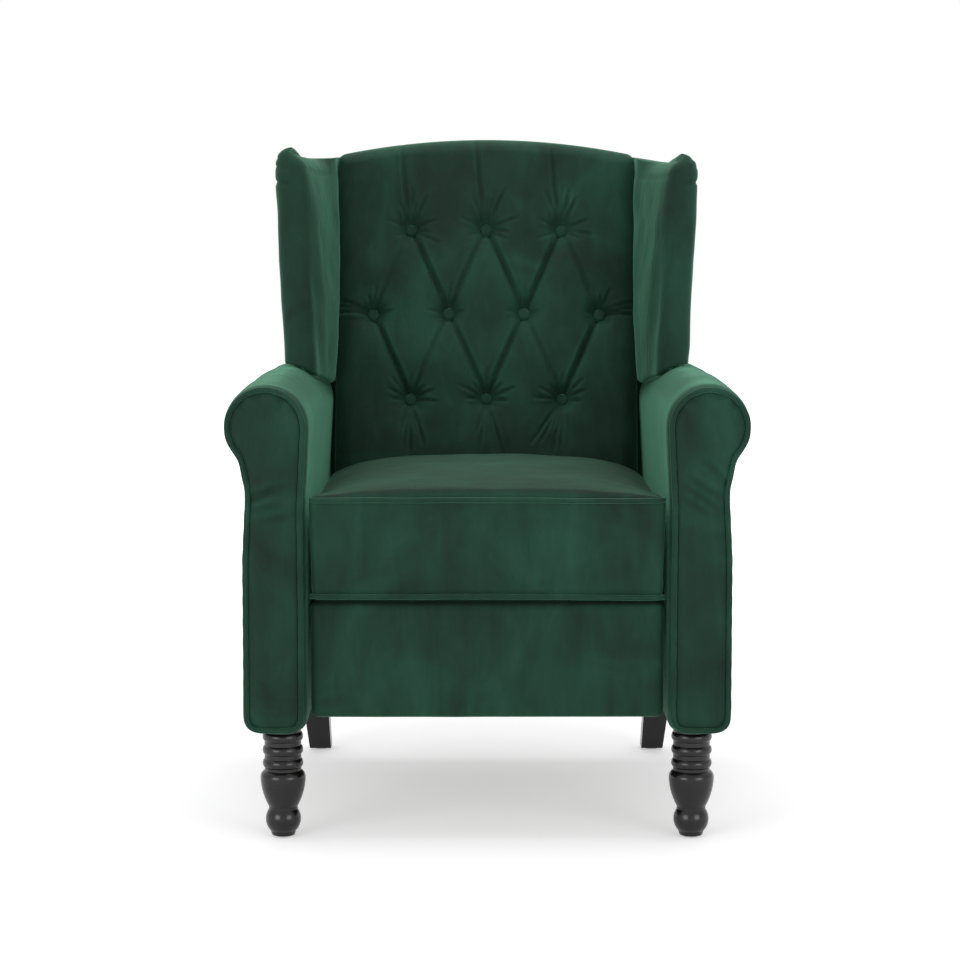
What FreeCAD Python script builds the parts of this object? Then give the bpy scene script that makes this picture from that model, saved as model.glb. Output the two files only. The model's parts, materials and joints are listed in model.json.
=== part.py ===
import FreeCAD, Part
import math
import os
import re
import Sketcher

# Wingback recliner: a push-back chair with rolled arms, wings, a tufted back and a folding footrest.
# Origin at the centre of the chair's footprint, on the floor. X to the right seen from the front,
# the front faces -Y, Z up. Depths are counted backwards from the front plane of the arms.

V = FreeCAD.Vector
X_AXIS = V(1, 0, 0)
doc = FreeCAD.newDocument("WingbackRecliner")
sheet = doc.addObject("Spreadsheet::Sheet", "Sizes")

SIZES = {
    # whole chair
    "front_plane": (401, "origin to the front plane of the arms"),
    "leg_height": (154, "floor to the underside of the arms"),
    "glide_height": (3, "nail glide under each leg"),
    "glide_radius": (10, "nail glide"),
    # arms
    "arm_depth": (640, "front plane to the rear end of the arms"),
    "arm_inner": (252, "centre line to the inner wall of an arm"),
    "arm_outer": (343, "centre line to the outer wall of an arm"),
    "arm_corner": (16, "rounding of the lower corners of an arm"),
    "arm_waist_inset": (1, "the inner wall leans outwards by this at the waist"),
    "arm_waist_height": (468, "height of the waist of the inner wall"),
    "arm_inner_straight": (340, "top of the straight part of the inner wall"),
    "arm_neck_inset": (5, "the outer wall draws in by this at the neck"),
    "arm_neck_height": (495, "height of the neck under the roll"),
    "arm_outer_straight": (400, "top of the straight part of the outer wall"),
    "roll_radius": (60, "padded roll on top of an arm"),
    "roll_offset": (307, "centre line to the centre of the roll"),
    "roll_height": (585, "floor to the centre of the roll"),
    "roll_underside_angle": (50, "how far the roll wraps below its widest point"),
    "facing_thickness": (12, "panel on the front of an arm"),
    "piping_radius": (3, "piping cord"),
    "facing_inset": (4, "cover outline to piping, seen from the front"),
    "cover_wall": (18, "padding of an arm around its frame"),
    "post_depth": (60, "front and rear posts in an arm"),
    "arm_rail_height": (40, "rails in an arm"),
    "arm_frame_top": (598, "top of the arm frame"),
    # legs
    "front_leg_offset": (289, "centre line to a front leg"),
    "front_leg_setback": (50, "front plane to the axis of a front leg"),
    "groove_radius": (26, "grooves between the rings"),
    "urn_radius": (32, "shoulder of the turned leg"),
    "leg_neck_radius": (20.5, "neck above the ball foot"),
    "ball_radius": (24.8, "ball foot"),
    "foot_radius": (16.3, "bottom of a front leg"),
    "ring_pitch": (19, "from ring to ring"),
    "ring_round": (9, "radius of the profile of a ring"),
    "groove_land": (3, "straight part of a groove beside a ring"),
    "urn_height": (87, "height of the urn shoulder"),
    "urn_rise": (9, "urn shoulder to the groove above it"),
    "urn_round": (11, "radius of the profile above the urn shoulder"),
    "leg_sweep": (90, "radius of the hollow curve from the urn to the neck"),
    "leg_neck_height": (44, "height of the neck"),
    "ball_height": (25, "height of the ball foot"),
    "ball_rise": (15, "middle of the ball foot to the neck above it"),
    "foot_rise": (6, "height of the rim under the ball foot"),
    "foot_rim": (2, "how far the ball foot stands out over its rim"),
    "rear_leg_top": (46, "side of a rear leg at its top"),
    "rear_leg_bottom": (35, "side of a rear leg at its bottom"),
    "rear_leg_offset": (284, "centre line to a rear leg at its top"),
    "rear_leg_setback": (610, "front plane to a rear leg at its top"),
    "rear_leg_rake": (58, "how far a rear leg runs backwards"),
    "rear_bolt_shift": (4, "centre of a rear leg's top to its bolt"),
    "rear_leg_splay": (-10, "how far a rear leg runs outwards"),
    "leg_bolt_radius": (4, "hanger bolts"),
    "leg_bolt_length": (90, "hanger bolts"),
    "bolt_play": (0.2, "radial play around bolts that only hold"),
    # base cross pieces
    "stretcher_setback": (300, "front plane to the base stretcher"),
    "stretcher_height": (60, "base stretcher"),
    "stretcher_thickness": (22, "base stretcher"),
    "stretcher_lift": (6, "underside of the arms to the cross pieces"),
    "rear_rail_setback": (600, "front plane to the rear rail"),
    "rear_rail_height": (110, "rear rail"),
    "rear_rail_thickness": (30, "rear rail with its cover"),
    # slide rails and rollers
    "rail_height": (305, "floor to the roller axis"),
    "rail_start": (100, "front plane to the front end of the slide rails"),
    "rail_end": (600, "front plane to the rear end of the slide rails"),
    "rail_wall": (2.5, "steel of the slide rails"),
    "rail_width": (11.5, "slide rails, across"),
    "roller_radius": (12.5, "nylon guide rollers"),
    "roller_width": (7, "nylon guide rollers"),
    "roller_play": (0.3, "roller to rail"),
    "roller_gap": (2.5, "seat plate to roller"),
    "roller_front": (200, "front plane to the front rollers"),
    "roller_rear": (520, "front plane to the rear rollers"),
    "stud_radius": (4, "studs, rivets and axles of the mechanism"),
    "running_play": (0.15, "radial play of a rivet in a moving bar"),
    # seat
    "plate_inner": (236, "centre line to the inner face of a seat plate"),
    "plate_thickness": (3, "seat plate"),
    "plate_top": (342, "top of the seat plates"),
    "plate_bottom": (260, "underside of the seat plates"),
    "plate_start": (60, "front plane to the front of the seat plates"),
    "plate_chamfer": (25, "cut-off lower front corner of the seat plates"),
    "strap_thickness": (3, "steel straps across the seat plates"),
    "strap_width": (40, "steel straps"),
    "front_strap": (120, "front plane to the front strap"),
    "rear_strap": (440, "front plane to the rear strap"),
    "seat_frame_half": (222, "half width of the wooden seat frame"),
    "seat_frame_start": (22, "front plane to the wooden seat frame"),
    "seat_frame_depth": (470, "wooden seat frame"),
    "seat_frame_height": (55, "wooden seat frame"),
    "seat_frame_wood": (25, "thickness of the seat frame rails"),
    "spring_wire": (1.8, "radius of the spring wire"),
    "spring_loop": (20, "radius of the loops of a sinuous spring"),
    "spring_reach": (45, "straight part of each loop"),
    "spring_pitch": (88, "from spring to spring"),
    "soft_gap": (0.4, "between padding and what it covers"),
    "seat_half": (250, "half width of the seat cushion"),
    "seat_bottom": (346, "underside of the seat cushion"),
    "seat_top": (487, "seam along the top of the seat front"),
    "seat_front": (6, "front plane to the face of the seat cushion"),
    "seat_rear_gap": (6.5, "seat cushion to the face of the back"),
    "seat_crown": (21, "crown of the seat cushion"),
    "seat_side_fall": (0.7, "share of the crown lost at the ends of the cushion"),
    "seat_draw": (9, "how far the cushion's ends are drawn in"),
    # footrest
    "footrest_half": (247, "half width of the footrest"),
    "footrest_bottom": (176, "underside of the footrest"),
    "footrest_top": (339, "top of the footrest"),
    "footrest_front": (14, "front plane to the face of the footrest"),
    "footrest_padding": (40, "padding of the footrest"),
    "footrest_crown": (6, "crown of the footrest"),
    "footrest_draw": (6, "how far the footrest's ends are drawn in"),
    "board_thickness": (15, "footrest board"),
    "board_half": (232, "half width of the footrest board"),
    "board_inset": (8, "padding beyond the board, above and below"),
    # footrest mechanism: pivots as depth and height, footrest folded
    "bar_half_width": (8, "half width of the steel bars"),
    "bar_thickness": (3, "steel bars"),
    "bar_pitch": (4.5, "from bar to bar across the chair"),
    "drive_pivot_depth": (107.2, "drive link on the seat plate"),
    "drive_pivot_height": (330, "drive link on the seat plate"),
    "rear_pivot_depth": (148.7, "rear link on the seat plate"),
    "rear_pivot_height": (305, "rear link on the seat plate"),
    "cross_pivot_depth": (226.3, "swing link on the drive link"),
    "cross_pivot_height": (226.1, "swing link on the drive link"),
    "drive_end_depth": (256.1, "front link on the drive link"),
    "drive_end_height": (200, "front link on the drive link"),
    "swing_end_depth": (265.2, "swing link meets the rear link"),
    "swing_end_height": (199.9, "swing link meets the rear link"),
    "swing_tip_depth": (83, "footrest bracket on the swing link"),
    "swing_tip_height": (332, "footrest bracket on the swing link"),
    "front_tip_depth": (110, "footrest bracket meets the front link"),
    "front_tip_height": (296, "footrest bracket meets the front link"),
    "open_pivot_play": (2.2, "radial clearance in the two open pivots"),
    "rivet_head": (1, "height of a rivet head"),
    "rivet_rim": (3, "how far a rivet head stands out over its shaft"),
    "web_foot_drop": (34, "lower pivot of a footrest bracket to its lower end"),
    "web_foot_inset": (2, "upper pivot of a footrest bracket to the top of its flange"),
    "web_flange": (24, "flange of a footrest bracket on the board"),
    "web_head": (8, "steel above the upper pivot of a footrest bracket"),
    "web_cheek": (7, "steel behind the upper pivot of a footrest bracket"),
    "web_heel": (9, "steel behind the lower pivot of a footrest bracket"),
    "web_sole": (12, "steel below the lower pivot of a footrest bracket"),
    "screw_inset": (12, "screw to the nearer end of the flange"),
    "screw_radius": (5, "screw heads on the footrest brackets"),
    "screw_head": (2, "height of a screw head"),
    # back
    "back_tilt": (16, "slope of the face of the back, from upright"),
    "back_line": (480, "height where the back's face passes back_setback"),
    "back_setback": (545, "front plane to the back's face at back_line"),
    "back_half": (244, "half width of the back padding"),
    "back_pad_depth": (52, "padding of the back"),
    "back_pad_low": (-125, "lower end of the padding along the slope"),
    "back_pad_high": (550, "top of the padding along the slope"),
    "back_arch": (22, "how far the top of the back arches"),
    "back_top_block": (45, "height of the padding that closes the top of the back"),
    "back_crown": (14, "crown of the back padding"),
    "back_edge": (26, "rounding of the top edge of the back padding"),
    "back_foot": (12, "slanted lower edge of the back padding"),
    "back_draw": (5, "how far the ends of the back padding are drawn in"),
    "back_frame_face": (56, "face of the padding to the back frame"),
    "stile_half": (230, "half width over the stiles"),
    "stile_width": (25, "stiles of the back frame"),
    "stile_low": (320, "lower end of the stiles"),
    "stile_high": (930, "upper end of the stiles"),
    "side_pad_low": (378, "lower end of the padding on the sides of the back"),
    "side_pad_high": (934, "upper end of the padding on the sides of the back"),
    "side_pad_half": (243, "half width over the padding on the sides of the back"),
    "back_rail_width": (40, "rails of the back frame"),
    "back_rail_depth": (30, "rails of the back frame"),
    "back_rail_inset": (32, "ends of the stiles to the low and high rails"),
    "middle_rail_rise": (60, "back_line to the middle rail"),
    "panel_foot": (660, "front plane to the outer back panel at its foot"),
    "panel_low": (305, "foot of the outer back panel"),
    "panel_tilt": (11.2, "slope of the outer back panel"),
    "panel_thickness": (8, "outer back panel"),
    "panel_half_low": (246, "half width of the outer back panel between the arms"),
    "panel_half_high": (320, "half width of the outer back panel above the arms"),
    "panel_corner_height": (957, "outer top corners of the outer back panel"),
    "panel_crest": (995, "top of the outer back panel"),
    "recline_ahead": (25, "foot of the outer back panel to the hinge of the back"),
    "recline_height": (330, "height of the hinge of the back"),
    "recline_bolt": (5, "radius of the hinge bolts"),
    "recline_bolt_head": (3, "height of the head of a hinge bolt"),
    "recline_bolt_grip": (16, "how far a hinge bolt reaches into a stile"),
    "hinge_eye_front": (35, "hinge to where a seat plate starts to narrow"),
    "hinge_eye_rear": (17, "hinge to the rear end of a seat plate"),
    "hinge_eye_low": (18, "hinge to the underside of a seat plate's rear end"),
    "bracket_height": (140, "hinge to the top of a back bracket"),
    "bracket_reach": (30, "hinge to the front of a back bracket"),
    "bracket_round": (16, "hinge to the rear and low edges of a back bracket"),
    "bracket_thickness": (4, "hinge bracket of the back"),
    "tuft_pitch_across": (122, "from button to button"),
    "tuft_pitch_up": (141, "from row to row"),
    "tuft_first": (113, "back_line to the lowest row, along the slope"),
    "tuft_depth": (15, "how deep the buttons pull in"),
    "tuft_spread": (24, "radius of the dimple around a button"),
    "pleat_width": (7, "half width of a pleat at the face"),
    "pleat_depth": (6, "diagonal pleats between the buttons"),
    "button_radius": (10, "covered button"),
    "button_thickness": (6, "covered button"),
    # wings
    "wing_clearance": (5, "roll of an arm to the underside of the wings"),
    "wing_side_gap": (2, "padding of the back to a wing"),
    "wing_tuck": (4, "face of the back to where a wing comes out of it"),
    "wing_cheek": (22, "front edge of a wing to its widest place"),
    "wing_cap": (12, "height of the rounding on top of a wing"),
    "wing_round": (18, "how far the top of a wing is drawn in"),
    "wing_board_rise": (14, "underside of a wing to the board inside it"),
    "wing_high": (984, "top of the wings"),
    "wing_shoulder": (945, "height where the top of a wing starts to round"),
    "wing_front_low": (420, "front plane to the front edge of a wing, low"),
    "wing_front_high": (476, "front plane to the front edge of a wing, high"),
    "wing_outer_low": (314, "centre line to the outside of a wing, low"),
    "wing_outer_high": (331, "centre line to the outside of a wing, high"),
    "wing_thickness": (46, "padded thickness of a wing"),
    "wing_board": (14, "board inside a wing"),
    "wing_nose": (20, "depth of the rounded front edge of a wing"),
    "board_nose": (4, "depth of the rounded front edge of the board in a wing"),
}

HINGE_DEPTH = "(panel_foot - recline_ahead)"
WING_LOW = "(roll_height + roll_radius + wing_clearance)"

names_pattern = re.compile(r"\b[a-z][a-z_0-9]*\b")


def fill_sheet():
    for row, (alias, (value, note)) in enumerate(SIZES.items(), start=1):
        sheet.set("A%d" % row, alias)
        sheet.set("B%d" % row, str(value))
        sheet.set("C%d" % row, note)
        sheet.setAlias("B%d" % row, alias)
    doc.recompute()


def num(expression):
    # the present value of an expression in the sheet's sizes
    return float(sheet.evalExpression(str(expression)))


def bound(expression):
    # the same expression as another object has to write it
    def qualify(match):
        word = match.group(0)
        return "Sizes." + word if word in SIZES else word
    return names_pattern.sub(qualify, str(expression))


def bind(thing, prop, expression):
    thing.setExpression(prop, bound(expression))


def place(thing, across="0", depth="front_plane", height="0", turn="0"):
    # puts the object's own origin at a place counted from the centre line, front plane and floor,
    # turned about X
    thing.Placement = FreeCAD.Placement(V(0, 0, 0), FreeCAD.Rotation(X_AXIS, num(turn)))
    bind(thing, "Placement.Base.x", across)
    bind(thing, "Placement.Base.y", "(%s) - front_plane" % depth)
    bind(thing, "Placement.Base.z", height)
    if str(turn) != "0":
        bind(thing, "Placement.Rotation.Angle", turn)


nodes = []


def node(label, thing):
    thing.Label = label
    nodes.append(thing)
    return thing


def box(name, across, depth, height):
    # each of the three is a pair of expressions, low and high
    thing = doc.addObject("Part::Box", name)
    for prop, (low, high) in (("Length", across), ("Width", depth), ("Height", height)):
        bind(thing, prop, "(%s) - (%s)" % (high, low))
    place(thing, across[0], depth[0], height[0])
    return thing


def rod(name, radius, across, depth, height):
    # a cylinder along X between two distances from the centre line
    thing = doc.addObject("Part::Cylinder", name)
    bind(thing, "Radius", radius)
    bind(thing, "Height", "(%s) - (%s)" % (across[1], across[0]))
    thing.Placement = FreeCAD.Placement(V(0, 0, 0), FreeCAD.Rotation(V(0, 1, 0), 90))
    bind(thing, "Placement.Base.x", across[0])
    bind(thing, "Placement.Base.y", "(%s) - front_plane" % depth)
    bind(thing, "Placement.Base.z", height)
    return thing


def peg(name, radius, across, depth, height):
    # an upright cylinder, height is a pair
    thing = doc.addObject("Part::Cylinder", name)
    bind(thing, "Radius", radius)
    bind(thing, "Height", "(%s) - (%s)" % (height[1], height[0]))
    place(thing, across, depth, height[0])
    return thing


def cut(name, base, tools):
    thing = doc.addObject("Part::Cut", name)
    thing.Base = base
    thing.Tool = tools[0] if len(tools) == 1 else fuse(name + "_tools", tools)
    return thing


def fuse(name, shapes):
    thing = doc.addObject("Part::MultiFuse", name)
    thing.Shapes = shapes
    return thing


def group(name, links):
    thing = doc.addObject("Part::Compound", name)
    thing.Links = links
    return thing


def mirror(name, source):
    thing = doc.addObject("Part::Mirroring", name)
    thing.Source = source
    thing.Base = V(0, 0, 0)
    thing.Normal = X_AXIS
    return thing


def pair(name, source):
    # a right-hand piece and its mirror image as two nodes
    node("right_" + name, source)
    node("left_" + name, mirror("left_" + name, source))


def both_sides(name, pieces):
    # right-hand pieces and their mirror images as one node of separate solids
    right = group(name + "_right", pieces) if len(pieces) > 1 else pieces[0]
    return node(name, group(name, [right, mirror(name + "_left", right)]))


def make_body(name, plane):
    body = doc.addObject("PartDesign::Body", name)
    sketch = body.newObject("Sketcher::SketchObject", name + "_sketch")
    origin_plane = [part for part in body.Origin.OriginFeatures if part.Role == plane][0]
    sketch.AttachmentSupport = [(origin_plane, "")]
    sketch.MapMode = "FlatFace"
    return body, sketch


def pin_point(sketch, index, end, across, up):
    for kind, value in (("DistanceX", across), ("DistanceY", up)):
        number = sketch.addConstraint(Sketcher.Constraint(kind, -1, 1, index, end, num(value)))
        bind(sketch, "Constraints[%d]" % number, value)


def outline(sketch, steps):
    # a closed outline. Each step is (across, up) for a straight edge to that point,
    # or (across, up, radius, side) for an arc; side is 1 where the centre lies left of the way
    points = [V(num(step[0]), num(step[1]), 0) for step in steps]
    first = sketch.GeometryCount
    ends = []
    for number, step in enumerate(steps):
        start, end = points[number - 1], points[number]
        if len(step) == 2:
            sketch.addGeometry(Part.LineSegment(start, end), False)
            ends.append((1, 2))
            continue
        middle = (start + end) * 0.5
        chord = end - start
        radius = num(step[2])
        left = V(-chord.y, chord.x, 0).normalize() * step[3]
        centre = middle + left * math.sqrt(max(radius ** 2 - (chord.Length / 2) ** 2, 0))
        top = centre - left * radius
        arc = Part.Arc(start, top, end)
        sketch.addGeometry(arc, False)
        ends.append((1, 2) if step[3] > 0 else (2, 1))
    count = len(steps)
    for number in range(count):
        following = (number + 1) % count
        sketch.addConstraint(Sketcher.Constraint(
            "Coincident", first + number, ends[number][1], first + following, ends[following][0]))
    for number, step in enumerate(steps):
        pin_point(sketch, first + number, ends[number][1], step[0], step[1])
        if len(step) == 4:
            size = sketch.addConstraint(
                Sketcher.Constraint("Radius", first + number, num(step[2])))
            bind(sketch, "Constraints[%d]" % size, step[2])


def circle(sketch, across, up, radius):
    index = sketch.GeometryCount
    spot = V(num(across), num(up), 0)
    sketch.addGeometry(Part.Circle(spot, V(0, 0, 1), num(radius)), False)
    pin_point(sketch, index, 3, across, up)
    size = sketch.addConstraint(Sketcher.Constraint("Radius", index, num(radius)))
    bind(sketch, "Constraints[%d]" % size, radius)


def pad(body, sketch, length, backwards=False):
    feature = body.newObject("PartDesign::Pad", body.Name + "_pad")
    feature.Profile = sketch
    feature.Reversed = backwards
    bind(feature, "Length", length)
    sketch.Visibility = False
    return feature


def side_plate(name, points, inner, thickness, holes=()):
    # a plate parallel to the side of the chair; points and holes are (depth, height)
    body, sketch = make_body(name, "YZ_Plane")
    outline(sketch, [("(%s) - front_plane" % step[0],) + tuple(step[1:]) for step in points])
    for depth, height, radius in holes:
        circle(sketch, "(%s) - front_plane" % depth, height, radius)
    pad(body, sketch, thickness)
    bind(body, "Placement.Base.x", inner)
    return body


def front_plate(name, outlines, start, thickness):
    # a plate parallel to the front of the chair; each outline's points are (across, height)
    body, sketch = make_body(name, "XZ_Plane")
    for steps in outlines:
        outline(sketch, steps)
    pad(body, sketch, thickness, backwards=True)
    bind(body, "Placement.Base.y", "(%s) - front_plane" % start)
    return body


def loft(name, wires):
    # a solid with straight walls from each outline to the next
    thing = doc.addObject("Part::Feature", name)
    thing.Shape = Part.makeLoft(wires, True, True)
    return thing


def wire(points):
    # points in order; a tuple of two points is an arc through the first to the second
    edges = []
    here = points[0]
    for point in points[1:] + [points[0]]:
        if isinstance(point, tuple):
            edges.append(Part.Arc(here, point[0], point[1]).toShape())
            here = point[1]
        elif (point - here).Length > 1e-6:
            edges.append(Part.LineSegment(here, point).toShape())
            here = point
    return Part.Wire(edges)


def depth_at(depth):
    return depth - num("front_plane")


# legs

def turned_front_leg():
    # half outline of the turned leg: three rings below its flat top, then down to the floor
    body, sketch = make_body("turned_leg", "XZ_Plane")
    profile = [("0", "leg_height"), ("groove_radius", "leg_height")]
    for ring in range(3):
        high = "leg_height - %d * ring_pitch" % ring
        low = "%s - ring_pitch" % high
        if ring:
            profile.append(("groove_radius", high))
        profile.append(("groove_radius", high + " - groove_land"))
        profile.append(("groove_radius", low + " + groove_land", "ring_round", -1))
    profile += [
        ("groove_radius", "urn_height + urn_rise"),
        ("urn_radius", "urn_height", "urn_round", -1),
        ("leg_neck_radius", "leg_neck_height", "leg_sweep", -1),
        ("leg_neck_radius", "ball_height + ball_rise"),
        ("foot_radius + foot_rim", "glide_height + foot_rise", "ball_radius", -1),
        ("foot_radius", "glide_height"),
        ("0", "glide_height"),
    ]
    outline(sketch, profile)
    turning = body.newObject("PartDesign::Revolution", "turning")
    turning.Profile = sketch
    turning.ReferenceAxis = (sketch, ["V_Axis"])
    turning.Angle = 360
    sketch.Visibility = False
    place(body, "front_leg_offset", "front_leg_setback")
    bore = leg_bore("front_leg_bore", "front_leg_offset", "front_leg_setback")
    return cut("right_front_leg", body, [bore])


def leg_bore(name, across, depth):
    return peg(name, "leg_bolt_radius + bolt_play", across, depth,
               ("leg_height - leg_bolt_length / 2", "leg_height + leg_bolt_length / 2 + bolt_play"))


def square(side, across, depth, height):
    half = num(side) / 2
    x, y, z = num(across), depth_at(num(depth)), num(height)
    return Part.makePolygon([V(x - half, y - half, z), V(x + half, y - half, z),
                             V(x + half, y + half, z), V(x - half, y + half, z),
                             V(x - half, y - half, z)])


def raked_rear_leg():
    top = square("rear_leg_top", "rear_leg_offset", "rear_leg_setback", "leg_height")
    foot = square("rear_leg_bottom", "rear_leg_offset + rear_leg_splay",
                  "rear_leg_setback + rear_leg_rake", "glide_height")
    blank = loft("rear_leg_blank", [foot, top])
    bore = leg_bore("rear_leg_bore", "rear_leg_offset", "rear_leg_setback - rear_bolt_shift")
    return cut("right_rear_leg", blank, [bore])


def legs():
    pair("front_leg", turned_front_leg())
    pair("rear_leg", raked_rear_leg())
    front = peg("front_glide", "glide_radius", "front_leg_offset", "front_leg_setback",
                ("0", "glide_height"))
    rear = peg("rear_glide", "glide_radius", "rear_leg_offset + rear_leg_splay",
               "rear_leg_setback + rear_leg_rake", ("0", "glide_height"))
    both_sides("leg_glides", [front, rear])
    bolts = []
    for name, across, depth in leg_axes():
        bolts.append(peg(name + "_bolt", "leg_bolt_radius", across, depth,
                         ("leg_height - leg_bolt_length / 2", "leg_height + leg_bolt_length / 2")))
    both_sides("leg_bolts", bolts)


def leg_axes():
    return (("front_leg", "front_leg_offset", "front_leg_setback"),
            ("rear_leg", "rear_leg_offset", "rear_leg_setback - rear_bolt_shift"))


# arms

def arm_outline(inset):
    # section of an arm seen from the front, drawn in by inset
    inner = "arm_inner + %s" % inset
    outer = "arm_outer - %s" % inset
    radius = "roll_radius - %s" % inset
    bottom = "leg_height + %s" % inset
    wrap = "roll_underside_angle"
    return [
        (inner, "arm_inner_straight"),
        ("arm_inner + arm_waist_inset + %s" % inset, "arm_waist_height"),
        ("roll_offset - (%s)" % radius, "roll_height"),
        ("roll_offset", "roll_height + %s" % radius, radius, -1),
        ("roll_offset + %s" % radius, "roll_height", radius, -1),
        ("roll_offset + (%s) * cos(%s)" % (radius, wrap),
         "roll_height - (%s) * sin(%s)" % (radius, wrap), radius, -1),
        ("arm_outer - arm_neck_inset - %s" % inset, "arm_neck_height"),
        (outer, "arm_outer_straight"),
        (outer, bottom + " + arm_corner"),
        (outer + " - arm_corner", bottom, "arm_corner", -1),
        (inner + " + arm_corner", bottom),
        (inner, bottom + " + arm_corner", "arm_corner", -1),
    ]


def arms():
    piping_inner = "(facing_inset + 2 * piping_radius)"
    solid = front_plate("arm_block", [arm_outline("0")], "facing_thickness",
                        "arm_depth - facing_thickness")
    across = ("arm_inner + cover_wall", "arm_outer - cover_wall")
    low = "leg_height + cover_wall"
    rear = "arm_depth - cover_wall"
    hollow = box("arm_hollow", across, ("facing_thickness", rear), (low, "arm_frame_top"))
    bores = [leg_bore(name + "_cover_bore", x, y) for name, x, y in leg_axes()]
    pair("arm_cover", cut("right_arm_cover", solid, [hollow] + bores))
    pair("arm_facing", front_plate("arm_facing", [arm_outline(piping_inner)], "0",
                                   "facing_thickness"))
    pair("arm_piping", front_plate("arm_piping", [arm_outline("facing_inset"),
                                                  arm_outline(piping_inner)],
                                   "-piping_radius", "facing_thickness + piping_radius"))
    front_end = "facing_thickness + post_depth"
    rear_start = "arm_depth - cover_wall - post_depth"
    posts = []
    for name, depth, bore in (("front_post", ("facing_thickness", front_end), leg_axes()[0]),
                              ("rear_post", (rear_start, rear), leg_axes()[1])):
        blank = box(name + "_blank", across, depth, (low, "arm_frame_top"))
        posts.append(cut(name, blank, [leg_bore(name + "_bore", bore[1], bore[2])]))
    between = (front_end, rear_start)
    bottom_rail = box("arm_bottom_rail", across, between, (low, low + " + arm_rail_height"))
    top_rail = box("arm_top_rail", across, between,
                   ("arm_frame_top - arm_rail_height", "arm_frame_top"))
    pair("arm_frame", group("right_arm_frame", posts + [bottom_rail, top_rail]))


def base_cross_pieces():
    low = "leg_height + stretcher_lift"
    across = ("-arm_inner", "arm_inner")
    node("base_stretcher", box("base_stretcher", across, (
        "stretcher_setback", "stretcher_setback + stretcher_thickness"),
        (low, low + " + stretcher_height")))
    node("rear_rail", box("rear_rail", across, (
        "rear_rail_setback", "rear_rail_setback + rear_rail_thickness"),
        (low, low + " + rear_rail_height")))


def slide_rails():
    half = "(roller_radius + roller_play)"
    lip = "arm_inner - rail_width"
    web = "arm_inner - rail_wall"
    top, bottom = "rail_height + " + half, "rail_height - " + half
    profile = [
        ("arm_inner", bottom + " - rail_wall"), ("arm_inner", top + " + rail_wall"),
        (lip, top + " + rail_wall"), (lip, top), (web, top), (web, bottom), (lip, bottom),
        (lip, bottom + " - rail_wall"),
    ]
    pair("slide_rail", front_plate("slide_rail", [profile], "rail_start",
                                   "rail_end - rail_start"))


# seat

def seat_plates():
    top, low = "plate_top", "plate_bottom"
    eye_front = HINGE_DEPTH + " - hinge_eye_front"
    eye_rear = HINGE_DEPTH + " + hinge_eye_rear"
    eye_low = "recline_height - hinge_eye_low"
    points = [
        ("plate_start", low + " + plate_chamfer"), ("plate_start + plate_chamfer", low),
        ("roller_rear", low), (eye_front, eye_low), (eye_rear, eye_low),
        (eye_rear, top), ("plate_start", top),
    ]
    hole = (HINGE_DEPTH, "recline_height", "recline_bolt + running_play")
    pair("seat_plate", side_plate("seat_plate", points, "plate_inner", "plate_thickness", [hole]))
    outer = "plate_inner + plate_thickness"
    straps = []
    for name in ("front_strap", "rear_strap"):
        straps.append(box(name + "_steel", ("-(%s)" % outer, outer),
                          (name, name + " + strap_width"),
                          ("plate_top", "plate_top + strap_thickness")))
    node("seat_cross_straps", group("seat_cross_straps", straps))


def rollers():
    outer = "plate_inner + plate_thickness"
    start = outer + " + roller_gap"
    wheels, axles = [], []
    for name in ("roller_front", "roller_rear"):
        wheel = rod(name + "_wheel", "roller_radius", (start, start + " + roller_width"),
                    name, "rail_height")
        bore = rod(name + "_bore", "stud_radius + bolt_play / 2", (start, start + " + roller_width"),
                   name, "rail_height")
        wheels.append(cut(name + "_bored", wheel, [bore]))
        axles.append(rod(name + "_axle", "stud_radius", (outer, start + " + roller_width"),
                         name, "rail_height"))
    both_sides("guide_rollers", wheels)
    return axles


def layer(number):
    # inner and outer face of the bars in one layer; layer 1 lies next to the seat plate
    outer = "plate_inner - %d * bar_pitch + bar_thickness" % number
    return "plate_inner - %d * bar_pitch" % number, outer


def rivet(name, depth, height, near, far):
    # joins the bars of two neighbouring layers, with a head on the outer face of each
    inner = layer(max(near, far))[0]
    outer = layer(min(near, far))[1]
    shaft = rod(name + "_shaft", "stud_radius", (inner, outer), depth, height)
    head = rod(name + "_head", "stud_radius + rivet_rim", (inner + " - rivet_head", inner), depth, height)
    tail = rod(name + "_tail", "stud_radius + rivet_rim", (outer, outer + " + rivet_head"), depth, height)
    return fuse(name, [shaft, head, tail])


def stud(name, depth, height, number):
    # welded to the seat plate and riveted over behind the bar in the numbered layer
    inner = layer(number)[0]
    shaft = rod(name + "_shaft", "stud_radius", (inner, "plate_inner"), depth, height)
    head = rod(name + "_head", "stud_radius + rivet_rim", (inner + " - rivet_head", inner), depth, height)
    return fuse(name, [shaft, head])


PIVOTS = {
    "drive": ("drive_pivot_depth", "drive_pivot_height"),
    "rear": ("rear_pivot_depth", "rear_pivot_height"),
    "cross": ("cross_pivot_depth", "cross_pivot_height"),
    "drive_end": ("drive_end_depth", "drive_end_height"),
    "swing_end": ("swing_end_depth", "swing_end_height"),
    "swing_tip": ("swing_tip_depth", "swing_tip_height"),
    "front_tip": ("front_tip_depth", "front_tip_height"),
}
MOVING_HOLE = "stud_radius + running_play"
OPEN_HOLE = "stud_radius + open_pivot_play"


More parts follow.
